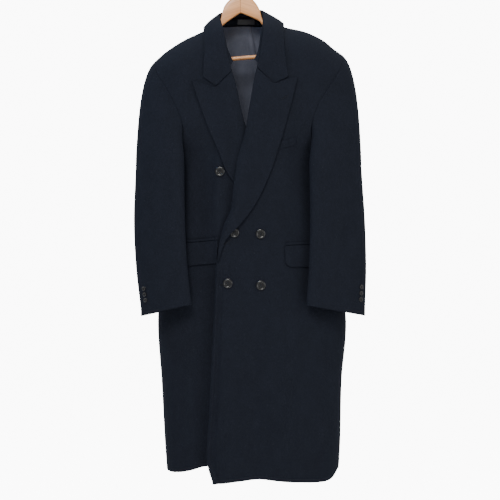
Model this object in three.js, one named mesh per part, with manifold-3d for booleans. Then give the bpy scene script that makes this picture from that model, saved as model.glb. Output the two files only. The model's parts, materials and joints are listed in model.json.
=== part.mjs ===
// A long double-breasted overcoat with peak lapels, hung on a wooden hanger.
// Millimetres, +Z up, +X to the viewer's right, the coat's front faces -Y.
// The origin is the inner top of the hook, where the rail carries it.
import * as THREE from 'three';
import { mergeVertices } from 'three/addons/utils/BufferGeometryUtils.js';
import Module from 'manifold-3d';

const wasm = await Module();
wasm.setup();

const FRONT = -1;
const BACK = 1;

// Cloth
const CLOTH = 2.4;
const LINING = 1.2;
const SEAM_GAP = 0.6;
const SHOULDER_ROUND = 85;
const SECTION_POWER = 2.5;
const UNDERARM_Z = -528;
const SQUARE_Z = -560;
const UNDERLAP_SINK = { depth: 12, from: -150, full: -72 };
const OVERLAP_RISE = { height: 1, from: 200, full: 120 };

// The ridge of the shoulders, which the cloth falls from on both sides.
const SHOULDER = [
  { x: -222, z: -277 }, { x: -190, z: -249 }, { x: -142, z: -218 }, { x: -88, z: -192 },
  { x: -62, z: -176 }, { x: -36, z: -140 }, { x: 0, z: -108 }, { x: 15, z: -105 }, { x: 30, z: -106 },
  { x: 62, z: -128 }, { x: 88, z: -165 }, { x: 126, z: -181 }, { x: 188, z: -196 },
  { x: 234, z: -218 }, { x: 261, z: -240 }, { x: 288, z: -259 },
];

// Level sections of the body: its two sides, and how far the front and the back stand out.
const BODY = [
  { z: -1420, left: -184, right: 273, front: 118, back: 122 },
  { z: -1300, left: -193, right: 280, front: 118, back: 120 },
  { z: -1134, left: -202, right: 284, front: 116, back: 116 },
  { z: -972, left: -212, right: 296, front: 112, back: 110 },
  { z: -824, left: -198, right: 272, front: 108, back: 104 },
  { z: -700, left: -180, right: 246, front: 106, back: 101 },
  { z: -570, left: -166, right: 228, front: 105, back: 98 },
  { z: -528, left: -171, right: 233, front: 105, back: 98 },
  { z: -492, left: -206, right: 272, front: 106, back: 98 },
  { z: -430, left: -255, right: 330, front: 106, back: 98 },
  { z: -340, left: -270, right: 345, front: 100, back: 92 },
  { z: -250, left: -275, right: 345, front: 84, back: 80 },
  { z: -100, left: -250, right: 330, front: 62, back: 62 },
];

// Soft folds: where they lie, how wide and proud they are, and the heights where they fade.
// One whose bottom is under `OPEN_BELOW` runs out at the hem.
const FRONT_FOLDS = [
  { x: -58, lean: 0, width: 16, proud: 5, top: -520, bottom: -860 },
  { x: -100, lean: 0, width: 20, proud: -6, top: -480, bottom: -900 },
  { x: -130, lean: 18, width: 14, proud: 5, top: -1000, bottom: -1420 },
  { x: -158, lean: 0, width: 16, proud: -5, top: -960, bottom: -1420 },
  { x: -25, lean: -10, width: 22, proud: 6, top: -900, bottom: -1420 },
  { x: 52, lean: 8, width: 30, proud: -7, top: -880, bottom: -1420 },
  { x: 135, lean: 10, width: 30, proud: 6, top: -860, bottom: -1420 },
  { x: 212, lean: 0, width: 22, proud: -6, top: -940, bottom: -1420 },
  { x: 160, lean: 0, width: 18, proud: -5, top: -330, bottom: -620 },
];

const BACK_FOLDS = [
  { x: -120, lean: -10, width: 30, proud: 8, top: -520, bottom: -1420 },
  { x: -55, lean: -4, width: 24, proud: -7, top: -760, bottom: -1420 },
  { x: 110, lean: 6, width: 26, proud: -8, top: -700, bottom: -1420 },
  { x: 190, lean: 12, width: 30, proud: 8, top: -540, bottom: -1420 },
];
const FOLD_FADE = 130;
const OPEN_BELOW = -1400;

// Fronts and backs
const ARM_ROWS = 10;
const ARM_CROWDING = 1.5;
const SKIRT_ROWS = 15;
const PANEL_COLUMNS = 10;
const HEM_PASSES = 4;
const CROWD_FROM = 0.55;
const RISE_FADE = 0.6;
const RISE_START = 0.25;
const SHOULDER_DROP = 150;

// Armhole seams, seen from the front: the front half curves in under the arm, the back half less.
const ARMHOLE = {
  left: {
    front: [[-222, -277], [-209, -317], [-188, -348], [-166, -389], [-147, -432], [-139, -465],
      [-142, -495], [-152, -515], [-163, -525]],
    back: [[-222, -277], [-216, -317], [-206, -348], [-194, -389], [-183, -432], [-177, -465],
      [-174, -495], [-172, -515], [-172, -524]],
  },
  right: {
    front: [[288, -259], [276, -300], [256, -335], [232, -372], [213, -405], [201, -440],
      [197, -478], [206, -510], [222, -524]],
    back: [[288, -259], [282, -300], [274, -335], [264, -372], [253, -405], [245, -440],
      [239, -478], [236, -510], [234, -524]],
  },
};

// The inner edge of each front, from the neck down its roll line and its front edge to the hem.
const FRONT_EDGE = {
  left: [
    { z: -1420, x: 101 }, { z: -1000, x: 103 }, { z: -804, x: 104 }, { z: -610, x: 64 },
    { z: -530, x: 42 }, { z: -464, x: 24 }, { z: -425, x: 13 }, { z: -347, x: -4 },
    { z: -316, x: -12 }, { z: -262, x: -30 }, { z: -205, x: -50 }, { z: -176, x: -62 },
  ],
  right: [
    { z: -1386, x: -62 }, { z: -1356, x: -72 }, { z: -1326, x: -77 }, { z: -1210, x: -71 },
    { z: -1061, x: -64 }, { z: -906, x: -57 }, { z: -832, x: -54 }, { z: -804, x: -49 },
    { z: -770, x: -42 }, { z: -715, x: -27 }, { z: -679, x: -11 }, { z: -622, x: -4 },
    { z: -546, x: 7 }, { z: -478, x: 26 }, { z: -426, x: 35 }, { z: -374, x: 44 },
    { z: -338, x: 50 }, { z: -305, x: 56 }, { z: -250, x: 68 }, { z: -190, x: 81 }, { z: -165, x: 90 },
  ],
};

// The hem line of each panel, by its place across the coat.
const HEM = {
  frontRight: [{ x: -200, z: -1372 }, { x: -170, z: -1373 }, { x: -143, z: -1368 },
    { x: -108, z: -1358 }, { x: -76, z: -1351 }, { x: 102, z: -1347 }],
  frontLeft: [{ x: -62, z: -1393 }, { x: -2, z: -1386 }, { x: 58, z: -1380 }, { x: 107, z: -1384 },
    { x: 167, z: -1389 }, { x: 220, z: -1394 }, { x: 254, z: -1388 }, { x: 276, z: -1362 }],
  back: [{ x: -200, z: -1372 }, { x: 0, z: -1366 }, { x: 150, z: -1370 }, { x: 276, z: -1372 }],
};

// Back neckline and centre-back seam.
const NECK = { left: { x: -62, z: -176 }, right: { x: 90, z: -166 }, back: { x: 15, z: -141 } };
const NECK_SHARE = 1 / 3;
const CENTRE_BACK = 34;
const HEM_LEVEL = -1372;
const BODY_CORE = new THREE.Vector3(35, 0, -900);

// Sleeves
const SLEEVE_CAP_ROWS = 7;
const SLEEVE_ROWS = 9;
const SLEEVE_COLUMNS = 8;
const UNDERARM_TURN = 262;
const FRONT_SEAM_TURN = 186;

// Level sections of each sleeve: its outer and inner edge, and how deep it is from front to back.
const SLEEVE = {
  left: [
    { z: -940, outerX: -250, outerY: -76, innerX: -113, innerY: -128, deep: 46 },
    { z: -824, outerX: -265, outerY: -56, innerX: -127, innerY: -120, deep: 50 },
    { z: -700, outerX: -271, outerY: -40, innerX: -134, innerY: -112, deep: 58 },
    { z: -560, outerX: -266, outerY: -30, innerX: -137, innerY: -106, deep: 64 },
  ],
  right: [
    { z: -940, outerX: 339, outerY: -76, innerX: 181, innerY: -128, deep: 46 },
    { z: -824, outerX: 344, outerY: -56, innerX: 190, innerY: -120, deep: 50 },
    { z: -700, outerX: 341, outerY: -40, innerX: 194, innerY: -112, deep: 58 },
    { z: -560, outerX: 332, outerY: -30, innerX: 193, innerY: -106, deep: 64 },
  ],
};
const CUFF = { left: { outer: -957, inner: -924 }, right: { outer: -956, inner: -926 } };
// The sleeve head's two halves meet on the shoulder's ridge within `RIDGE_TURN` degrees.
const RIDGE_TURN = 8;
const RIDGE_POWER = 1.5;
const ARMHOLE_GAP = 1.6;
const UNDERARM_EASE = { gap: 2.2, front: [150, 262], back: [330, 280] };
const CAP_REACH = 114;
const CAP_DROP = 74;
const CAP_ARRIVE = 0.9;
const SLEEVE_MIDDLE_Z = -600;
const SLEEVE_GAP = 0.5;

// Lapels
const LAPEL_ROWS = 16;
const LAPEL_COLUMNS = 5;
const LAPEL_LIFT = [1, 4.8, 5.6, 5.2, 4.6, 4.2].map((lift) => lift + CLOTH);
const GORGE_DIP = [0, 16, 31, 21, 9, 0];
const GORGE_FADE = 0.2;

// The upper inner button lies half under the left lapel, which rises over it.
const OVER_BUTTON = { x: -4, z: -738, reach: 28, lift: 5 };
const BREAK_FROM = 0.75;

// Each lapel by its roll line and its free edge, from the gorge down to where it breaks.
const LAPEL = {
  right: {
    out: underlapOut,
    roll: [[-13, -316], [-4, -347], [13, -425], [24, -464], [42, -530], [63, -610], [84, -700],
      [101, -790]],
    edge: [[-116, -339], [-108, -365], [-78, -451], [-47, -525], [-26, -577], [-4, -611], [36, -690],
      [92, -794]],
  },
  left: {
    out: overlapOut,
    roll: [[56, -308], [50, -338], [35, -426], [26, -478], [7, -546], [-4, -622], [-11, -679],
      [-27, -715], [-42, -770], [-50, -812]],
    edge: [[162, -330], [147, -392], [130, -456], [108, -530], [87, -590], [56, -656], [28, -697],
      [4, -725], [-25, -757], [-46, -816]],
  },
};

// Collar
const COLLAR_COLUMNS = 24;
const FALL_ROWS = 4;
const STAND_ROWS = 2;
const FALL_BULGE = 5;
const STAND_INSET = 4.4;
const STAND_SHORT = 0.03;
const COLLAR_OUT = CLOTH + 3;
const NOTCH_DIP = [0, 15, 30, 17, 0];
const NOTCH_FADE = 12;
const COLLAR_SLOPE = 0.6;
const NECK_CORE = new THREE.Vector3(15, 10, -260);

// Pocket flaps, jets and breast welt
const FLAP_THICK = 2.4;
const JET_THICK = 1.6;
const STEEP = { lift: 3, left: [-130, -172], right: [195, 240] };
const WELT_THICK = 1.2;
const FLAP_ROUNDING = 18;
const TRIM_COLUMNS = 8;

const TRIMS = [
  { name: 'flap_right', thick: FLAP_THICK, rows: 3, lifts: [4.8, 5.6], out: underlapOut,
    corners: [[-172, -768], [-54, -758], [-170, -829], [-54, -818]] },
  { name: 'flap_left', thick: FLAP_THICK, rows: 6, lifts: [3.6, 5], out: overlapOut,
    columns: 14, rounding: FLAP_ROUNDING,
    corners: [[127, -772], [240, -766], [128, -827], [240, -827]] },
  { name: 'jet_right', thick: JET_THICK, rows: 1, lifts: [4.6, 4.2], out: underlapOut,
    corners: [[-172, -760], [-54, -749.5], [-172, -767], [-54, -757]] },
  { name: 'jet_left', thick: JET_THICK, rows: 1, lifts: [2.8, 3], out: overlapOut,
    corners: [[129, -763], [240, -757], [129, -770.5], [240, -764.5]] },
  { name: 'breast_welt', thick: WELT_THICK, rows: 1, lifts: [2.2, 2.2], out: overlapOut,
    corners: [[82, -510], [158, -486], [82, -530], [158, -508]] },
];

// Inside the neck
const PLEAT = { top: -182, x: 42, deep: 6, width: 7, fade: 60 };

const INSIDE = {
  lining: { top: { z: -166, from: -44, to: 80, sag: -6 }, bottom: { z: -500, from: -120, to: 170 },
    rows: 14, columns: 12, depth: 9, thick: LINING, pleat: true },
  facing: { top: { z: -144, from: -24, to: 56, sag: -8 }, bottom: { z: -163.5, from: -38, to: 74 },
    rows: 3, columns: 10, depth: 6.2, thick: 1.8, pleat: false },
  label: { top: { z: -146, from: 0, to: 52, sag: 0 }, bottom: { z: -160, from: 0, to: 52 },
    rows: 2, columns: 4, depth: 8.4, thick: 0.6, pleat: false },
};

// Buttons
const FRONT_BUTTON = {
  radius: 12.4, thick: 3.6, rim: 2.6, dish: 1.2, shank: 1.6, shankRadius: 3, sides: 18,
};

const CUFF_BUTTON = {
  radius: 6.2, thick: 2.6, rim: 1.6, dish: 0.8, shank: 1, shankRadius: 1.8, sides: 12,
};

const FRONT_BUTTONS = [
  { name: 'button_underlap', x: -42, z: -578, out: (x) => underlapOut(x) + 0.5 },
  { name: 'button_upper_inner', x: -4, z: -738, out: overlapOut },
  { name: 'button_upper_outer', x: 64, z: -741, out: overlapOut },
  { name: 'button_lower_inner', x: -21, z: -870, out: overlapOut },
  { name: 'button_lower_outer', x: 65, z: -875, out: overlapOut },
];

const CUFF_BUTTON_ROW = [
  { arm: 'left', wearer: 'right', angle: 50, clear: 0, heights: [-884, -899, -914] },
  { arm: 'right', wearer: 'left', angle: 42, clear: -0.35, heights: [-880, -896, -912] },
];
const FRONT_CLEAR = 0.15;
const BUTTON_EDGE = { round: 1, taper: 0.6, slope: 1 };

// A cloth normal is taken between points this far to each side of a button.
const CUFF_REACH = { angle: 12, z: 10 };

// Hanger, trouser bar and hook
const ARM_SECTIONS = [
  { x: -204, top: -283, bottom: -296, thick: 16, y: -4 },
  { x: -190, top: -255, bottom: -294, thick: 26, y: -3 },
  { x: -142, top: -223, bottom: -259, thick: 26, y: -2 },
  { x: -88, top: -197.5, bottom: -225, thick: 20, y: 0 },
  { x: -66, top: -193, bottom: -212, thick: 17, y: 0 }, { x: -52, top: -184, bottom: -200, thick: 15, y: 0 },
  { x: -44, top: -164, bottom: -190, thick: 14, y: 0 }, { x: -39, top: -144, bottom: -181, thick: 14, y: 0 },
  { x: -33, top: -125, bottom: -174, thick: 14, y: 0 },
  { x: -16, top: -105, bottom: -161, thick: 14, y: 0 }, { x: 0, top: -92, bottom: -150, thick: 14, y: 0 },
  { x: 11, top: -88, bottom: -144, thick: 14, y: 0 }, { x: 24, top: -91, bottom: -148, thick: 14, y: 0 },
  { x: 43, top: -106, bottom: -156, thick: 14, y: 0 }, { x: 57, top: -123, bottom: -163, thick: 14, y: 0 },
  { x: 64, top: -139, bottom: -168, thick: 14, y: 0 }, { x: 69, top: -157, bottom: -175, thick: 14, y: 0 },
  { x: 78, top: -174, bottom: -188, thick: 15, y: 0 }, { x: 94, top: -184, bottom: -201, thick: 17, y: 0 },
  { x: 126, top: -187.5, bottom: -208, thick: 20, y: 0 },
  { x: 188, top: -202, bottom: -236, thick: 26, y: -2 },
  { x: 238, top: -228.5, bottom: -260, thick: 26, y: -3 },
  { x: 254, top: -243, bottom: -259, thick: 16, y: -4 },
];
const ARM_SIDES = 12;
const ARM_SQUARENESS = 0.6;
const BAR = { from: [-193, -283], to: [241, -246], y: -2, radius: 5.5, play: 0.4, inset: 0.6, sides: 14 };
const HOOK_WIRE = 1.9;
const HOOK_RADIUS = 21;
const HOOK_END_TURN = 205;
const HOOK_TURN_STEP = 15;
const HOOK_STEPS = 44;
const HOOK_START_TURN = -20;
const HOOK_STEM = [
  { x: 11, z: -87.4 }, { x: 9, z: -74 }, { x: 7.4, z: -62 }, { x: 10, z: -51 }, { x: 16, z: -41 },
];

function clamp01(value) {
  return Math.min(1, Math.max(0, value));
}

function ease(from, to, value) {
  const t = clamp01((value - from) / (to - from));
  return t * t * (3 - 2 * t);
}

function mix(a, b, t) {
  return a + (b - a) * t;
}

// A smooth curve through a table's rows, which are sorted by the column `by`.
function read(rows, by, at, column) {
  const last = rows.length - 1;
  if (at <= rows[0][by]) return rows[0][column];
  if (at >= rows[last][by]) return rows[last][column];
  let i = 0;
  while (at > rows[i + 1][by]) i += 1;
  const slope = (k) => {
    const a = rows[Math.max(0, k - 1)];
    const b = rows[Math.min(last, k + 1)];
    return (b[column] - a[column]) / (b[by] - a[by]);
  };
  const span = rows[i + 1][by] - rows[i][by];
  const t = (at - rows[i][by]) / span;
  const t2 = t * t;
  const t3 = t2 * t;
  return (2 * t3 - 3 * t2 + 1) * rows[i][column] + (t3 - 2 * t2 + t) * span * slope(i)
    + (3 * t2 - 2 * t3) * rows[i + 1][column] + (t3 - t2) * span * slope(i + 1);
}

function foldHeight(folds, x, z) {
  let total = 0;
  for (const fold of folds) {
    const fade = ease(fold.top, fold.top - FOLD_FADE, z) * ease(fold.bottom, fold.bottom + FOLD_FADE, z);
    const open = fold.bottom < OPEN_BELOW ? ease(fold.top, fold.top - 2 * FOLD_FADE, z) : fade;
    const down = (fold.top - z) / (fold.top - fold.bottom);
    const away = (x - fold.x - fold.lean * down) / fold.width;
    total += fold.proud * open * Math.exp(-away * away);
  }
  return total;
}

// A point of the coat's outer face, at x and z on its front or back, moved out by `out`.
// A sunken point comes back to the shoulders' ridge, where the front and the back meet.
function coat(x, z, side, out = 0) {
  const left = read(BODY, 'z', z, 'left');
  const right = read(BODY, 'z', z, 'right');
  const depth = read(BODY, 'z', z, side === FRONT ? 'front' : 'back');
  const across = Math.min(1, Math.abs((x - (left + right) / 2) / ((right - left) / 2)));
  const round = Math.sqrt(Math.max(0, 1 - across ** SECTION_POWER));
  const drop = clamp01((read(SHOULDER, 'x', x, 'z') - z) / SHOULDER_ROUND);
  const cap = Math.sqrt(1 - (1 - drop) ** 2);
  const folds = foldHeight(side === FRONT ? FRONT_FOLDS : BACK_FOLDS, x, z) * Math.min(1, 2 * round);
  const moved = out < 0 ? out * cap : out;
  return new THREE.Vector3(x, side * (depth * round * cap + folds * round + moved), z);
}

function underlapOut(x) {
  return -UNDERLAP_SINK.depth * ease(UNDERLAP_SINK.from, UNDERLAP_SINK.full, x);
}

function overlapOut(x) {
  return OVERLAP_RISE.height * ease(OVERLAP_RISE.from, OVERLAP_RISE.full, x);
}

// Whether the grid's own normal looks away from the core (1) or towards it (-1).
function facing(grid, core) {
  const i = Math.floor(grid.length / 2);
  const j = Math.floor(grid[0].length / 2);
  const down = grid[i][j].clone().sub(grid[i - 1][j]);
  const along = grid[i][j].clone().sub(grid[i][j - 1]);
  const away = grid[i][j].clone().sub(core);
  return down.cross(along).dot(away) > 0 ? 1 : -1;
}

// The grid moved in along its own normals, without its ghost columns.
function inset(wide, depth, core, ghosts = 0) {
  const turn = facing(wide, core);
  const moved = [];
  for (let i = 0; i < wide.length; i += 1) {
    const above = wide[Math.max(i - 1, 0)];
    const below = wide[Math.min(i + 1, wide.length - 1)];
    const row = [];
    for (let j = ghosts; j < wide[0].length - ghosts; j += 1) {
      const down = below[j].clone().sub(above[j]);
      const after = wide[i][Math.min(j + 1, wide[0].length - 1)];
      const along = after.clone().sub(wide[i][Math.max(j - 1, 0)]);
      const normal = down.cross(along).normalize().multiplyScalar(turn);
      row.push(wide[i][j].clone().addScaledVector(normal, -depth));
    }
    moved.push(row);
  }
  return moved;
}

// A closed wall of cloth: the grid is its outer face, and its inner face lies `thickness` behind.
// The outer face looks away from `core`, and `trim` may pull an inner point back from a seam.
// With `ghosts`, the grid's first and last columns only steer the normals beside them.
function wall(wide, thickness, core, trim = (point) => point, ghosts = 0) {
  const grid = inset(wide, 0, core, ghosts);
  const behind = inset(wide, thickness, core, ghosts);
  const turn = facing(wide, core);
  const rows = grid.length;
  const columns = grid[0].length;
  const points = grid.flat();
  const inner = behind.flat().map(trim);
  const count = points.length;
  const all = points.concat(inner);
  const faces = [];
  const quad = (a, b, c, d) => {
    if (turn > 0) faces.push(a, b, c, a, c, d);
    else faces.push(a, c, b, a, d, c);
  };
  const at = (i, j) => i * columns + j;
  for (let i = 0; i + 1 < rows; i += 1) {
    for (let j = 0; j + 1 < columns; j += 1) {
      quad(at(i, j), at(i + 1, j), at(i + 1, j + 1), at(i, j + 1));
      quad(count + at(i, j), count + at(i, j + 1), count + at(i + 1, j + 1), count + at(i + 1, j));
    }
  }
  const rim = (a, b) => quad(a, b, count + b, count + a);
  for (let i = 0; i + 1 < rows; i += 1) {
    rim(at(i + 1, 0), at(i, 0));
    rim(at(i, columns - 1), at(i + 1, columns - 1));
  }
  for (let j = 0; j + 1 < columns; j += 1) {
    rim(at(0, j), at(0, j + 1));
    rim(at(rows - 1, j + 1), at(rows - 1, j));
  }
  const geometry = new THREE.BufferGeometry();
  const numbers = all.flatMap((point) => point.toArray());
  geometry.setAttribute('position', new THREE.Float32BufferAttribute(numbers, 3));
  geometry.setIndex(faces);
  return geometry;
}

function wool() {
  return new THREE.MeshStandardMaterial({ color: 0x14171d, roughness: 0.95, metalness: 0 });
}

function satin() {
  return new THREE.MeshStandardMaterial({ color: 0x3a3c44, roughness: 0.45, metalness: 0 });
}

function horn() {
  return new THREE.MeshStandardMaterial({ color: 0x101114, roughness: 0.3, metalness: 0 });
}

function beech() {
  return new THREE.MeshStandardMaterial({ color: 0xc08e5c, roughness: 0.45, metalness: 0 });
}

function steel() {
  return new THREE.MeshStandardMaterial({ color: 0xc9ccd0, roughness: 0.2, metalness: 1 });
}

const group = new THREE.Group();

function add(name, geometry, material) {
  const mesh = new THREE.Mesh(geometry, material);
  mesh.name = name;
  group.add(mesh);
  return mesh;
}

// Fronts and backs

function armholePoint(arm, side, t) {
  const key = side === FRONT ? 'front' : 'back';
  const sideX = read(BODY, 'z', UNDERARM_Z, arm);
  const ends = ARMHOLE[arm][key].concat([[sideX, UNDERARM_Z]]);
  const line = new THREE.CatmullRomCurve3(ends.map(([x, z]) => new THREE.Vector3(x, 0, z)));
  return line.getPointAt(t);
}

// How far the shoulder's ridge stands above the straight line from the shoulder point to the neck.
function seamRise(arm, x) {
  const [pointX, pointZ] = ARMHOLE[arm].front[0];
  const share = (x - pointX) / (NECK[arm].x - pointX);
  if (share <= 0 || share >= 1) return 0;
  return Math.max(0, read(SHOULDER, 'x', x, 'z') - mix(pointZ, NECK[arm].z, share));
}

// One body panel: rows run from the shoulder seam to the hem, columns from the side to the centre.
// Its columns crowd towards the side from `CROWD_FROM` down, and the ridge fades by `RISE_FADE`.
// Each row lies at least its share of `SHOULDER_DROP` under the ridge.
function panel(arm, side, innerEdge, hem, out) {
  const grid = [];
  const total = ARM_ROWS + SKIRT_ROWS;
  for (let i = 0; i <= total; i += 1) {
    const armPart = Math.min(1, i / ARM_ROWS) ** ARM_CROWDING;
    const skirt = Math.max(0, (i - ARM_ROWS) / SKIRT_ROWS);
    const hole = armholePoint(arm, side, armPart);
    const row = [];
    for (let j = 0; j <= PANEL_COLUMNS; j += 1) {
      const s = j / PANEL_COLUMNS;
      const spread = mix(s, 1 - Math.cos((s * Math.PI) / 2), ease(CROWD_FROM, 1, armPart));
      const innerTop = innerEdge(armPart);
      const startZ = mix(hole.z, innerTop.z, spread);
      let x = mix(hole.x, innerTop.x, spread);
      const nearSeam = i === 0 ? 1 : ease(0, RISE_START, s);
      const rise = seamRise(arm, x) * (1 - ease(0, RISE_FADE, armPart)) * nearSeam;
      let z = startZ + rise;
      if (skirt > 0) {
        z = mix(UNDERARM_Z, HEM_LEVEL, skirt);
        for (let pass = 0; pass < HEM_PASSES; pass += 1) {
          x = mix(read(BODY, 'z', z, arm), innerEdge(1, z).x, spread);
          z = mix(UNDERARM_Z, read(hem, 'x', x, 'z'), skirt);
        }
      }
      z = Math.min(z, read(SHOULDER, 'x', x, 'z') - SHOULDER_DROP * armPart);
      row.push(coat(x, z, side, out(x)));
    }
    grid.push(row);
  }
  return grid;
}

function frontInner(arm) {
  return (armPart, level) => {
    const z = level === undefined ? mix(NECK[arm].z, UNDERARM_Z, armPart) : level;
    return { x: read(FRONT_EDGE[arm], 'z', z, 'x'), z };
  };
}

// The back's inner edge runs from the neck point along the neckline, then down the centre seam.
function backInner(arm) {
  const middle = CENTRE_BACK + (arm === 'left' ? -1 : 1) * SEAM_GAP / 2;
  return (armPart, level) => {
    if (level !== undefined) return { x: middle, z: level };
    const round = Math.min(1, armPart / NECK_SHARE);
    const down = (armPart - NECK_SHARE) / (1 - NECK_SHARE);
    const x = mix(NECK[arm].x, middle, round);
    const z = down <= 0
      ? mix(NECK[arm].z, NECK.back.z, Math.sin((round * Math.PI) / 2))
      : mix(NECK.back.z, UNDERARM_Z, down);
    return { x, z };
  };
}

// Each panel stops short of the shoulder and side seams, so that it clears its neighbour.
function seamed(grid, side) {
  return grid.map((row, i) => row.map((point, j) => {
    const atSeam = i === 0 || j === 0;
    return atSeam ? point.clone().add(new THREE.Vector3(0, side * SEAM_GAP / 2, 0)) : point;
  }));
}

// Keeps a panel's inner face on its own side of the shoulder, side and centre-back seams.
function withinSeams(arm, side) {
  return (point) => {
    point.y = side * Math.max(side * point.y, SEAM_GAP / 2);
    if (side === BACK && arm === 'left') point.x = Math.min(point.x, CENTRE_BACK - SEAM_GAP / 2);
    if (side === BACK && arm === 'right') point.x = Math.max(point.x, CENTRE_BACK + SEAM_GAP / 2);
    return point;
  };
}

const PANELS = [
  { name: 'front_right', arm: 'left', side: FRONT, hem: HEM.frontRight, out: underlapOut },
  { name: 'front_left', arm: 'right', side: FRONT, hem: HEM.frontLeft, out: overlapOut },
  { name: 'back_right', arm: 'left', side: BACK, hem: HEM.back, out: () => 0 },
  { name: 'back_left', arm: 'right', side: BACK, hem: HEM.back, out: () => 0 },
];

for (const { name, arm, side, hem, out } of PANELS) {
  const inner = side === FRONT ? frontInner(arm) : backInner(arm);
  const grid = seamed(panel(arm, side, inner, hem, out), side);
  add(name, wall(grid, CLOTH, BODY_CORE, withinSeams(arm, side)), wool());
}

// Sleeves

function degrees(angle) {
  return (angle * Math.PI) / 180;
}

// A point of a sleeve's level section; the angle runs from its outer edge over the front.
function sleevePoint(arm, angle, z) {
  const rows = SLEEVE[arm];
  const outer = new THREE.Vector3(read(rows, 'z', z, 'outerX'), read(rows, 'z', z, 'outerY'), z);
  const inner = new THREE.Vector3(read(rows, 'z', z, 'innerX'), read(rows, 'z', z, 'innerY'), z);
  const middle = outer.clone().add(inner).multiplyScalar(0.5);
  const half = outer.clone().sub(middle);
  const out = new THREE.Vector3(half.y, -half.x, 0).normalize();
  if (out.y > 0) out.negate();
  const deep = read(rows, 'z', z, 'deep') / 2;
  const turn = degrees(angle);
  return middle.addScaledVector(half, Math.cos(turn)).addScaledVector(out, deep * Math.sin(turn));
}

// The armhole loop, from the shoulder point down the front, under the arm and up the back.
function armholeLoop(arm, turned) {
  const angle = (turned + 360) % 360;
  const side = angle <= UNDERARM_TURN ? FRONT : BACK;
  const t = side === FRONT ? angle / UNDERARM_TURN : (360 - angle) / (360 - UNDERARM_TURN);
  const near = Math.min(1, Math.min(angle, 360 - angle) / RIDGE_TURN);
  const hole = armholePoint(arm, side, t * near ** RIDGE_POWER);
  const point = coat(hole.x, hole.z, side);
  const { gap, front, back } = UNDERARM_EASE;
  const spread = ARMHOLE_GAP + gap * ease(...front, angle) * ease(...back, angle);
  point.x += arm === 'left' ? -spread : spread;
  return point;
}

function sleeveGrid(arm, from, to) {
  const outward = arm === 'left' ? -1 : 1;
  const loopTop = armholeLoop(arm, 0).z;
  const grid = [];
  for (let i = 0; i <= SLEEVE_CAP_ROWS + SLEEVE_ROWS; i += 1) {
    const row = [];
    for (let j = -1; j <= SLEEVE_COLUMNS + 1; j += 1) {
      const angle = mix(from, to, j / SLEEVE_COLUMNS);
      if (i < SLEEVE_CAP_ROWS) {
        const start = armholeLoop(arm, angle);
        const end = sleevePoint(arm, angle, SQUARE_Z);
        const span = start.distanceTo(end);
        const high = clamp01((start.z - UNDERARM_Z) / (loopTop - UNDERARM_Z));
        const leave = new THREE.Vector3(outward * CAP_REACH * high ** 2, 0, -mix(span, CAP_DROP, high));
        const arrive = new THREE.Vector3(0, 0, -span * CAP_ARRIVE);
        const t = i / SLEEVE_CAP_ROWS;
        const t2 = t * t;
        const t3 = t2 * t;
        row.push(start.multiplyScalar(2 * t3 - 3 * t2 + 1).addScaledVector(leave, t3 - 2 * t2 + t)
          .addScaledVector(end, 3 * t2 - 2 * t3).addScaledVector(arrive, t3 - t2));
      } else {
        const share = (1 - Math.cos(degrees(angle))) / 2;
        const hem = mix(CUFF[arm].outer, CUFF[arm].inner, share);
        row.push(sleevePoint(arm, angle, mix(SQUARE_Z, hem, (i - SLEEVE_CAP_ROWS) / SLEEVE_ROWS)));
      }
    }
    grid.push(row);
  }
  return grid;
}

for (const [arm, wearer] of [['left', 'right'], ['right', 'left']]) {
  const middle = sleevePoint(arm, 0, SLEEVE_MIDDLE_Z).add(sleevePoint(arm, 180, SLEEVE_MIDDLE_Z));
  middle.multiplyScalar(0.5);
  const whole = (point) => point;
  const seam = FRONT_SEAM_TURN;
  const top = sleeveGrid(arm, SLEEVE_GAP, seam - SLEEVE_GAP);
  const under = sleeveGrid(arm, seam + SLEEVE_GAP, 360 - SLEEVE_GAP);
  add('top_sleeve_' + wearer, wall(top, CLOTH, middle, whole, 1), wool());
  add('under_sleeve_' + wearer, wall(under, CLOTH, middle, whole, 1), wool());
}

// Lapels

function flatCurve(points) {
  return new THREE.CatmullRomCurve3(points.map(([x, z]) => new THREE.Vector3(x, 0, z)));
}

function lapelGrid({ roll, edge, out }) {
  const rollLine = flatCurve(roll);
  const edgeLine = flatCurve(edge);
  const grid = [];
  for (let i = 0; i <= LAPEL_ROWS; i += 1) {
    const t = i / LAPEL_ROWS;
    const a = rollLine.getPointAt(t);
    const b = edgeLine.getPointAt(t);
    const row = [];
    for (let j = 0; j <= LAPEL_COLUMNS; j += 1) {
      const s = j / LAPEL_COLUMNS;
      const dip = GORGE_DIP[j] * (1 - ease(0, GORGE_FADE, t));
      const x = mix(a.x, b.x, s);
      const z = mix(a.z, b.z, s) - dip;
      const near = Math.hypot(x - OVER_BUTTON.x, z - OVER_BUTTON.z) / OVER_BUTTON.reach;
      const over = out === overlapOut ? OVER_BUTTON.lift * Math.exp(-near * near) : 0;
      const lift = mix(LAPEL_LIFT[j], LAPEL_LIFT[0] + 1, ease(BREAK_FROM, 1, t)) + over;
      row.push(coat(x, z, FRONT, out(x) + lift));
    }
    grid.push(row);
  }
  return grid;
}

for (const [wearer, lapel] of Object.entries(LAPEL)) {
  add('lapel_' + wearer, wall(lapelGrid(lapel), CLOTH, BODY_CORE), wool());
}

// Collar: the fold line round the neck, the fall's free edge and the neck seam, left to right.

function onFront(x, z, out) {
  return coat(x, z, FRONT, (x < 0 ? underlapOut(x) : overlapOut(x)) + out);
}

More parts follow.
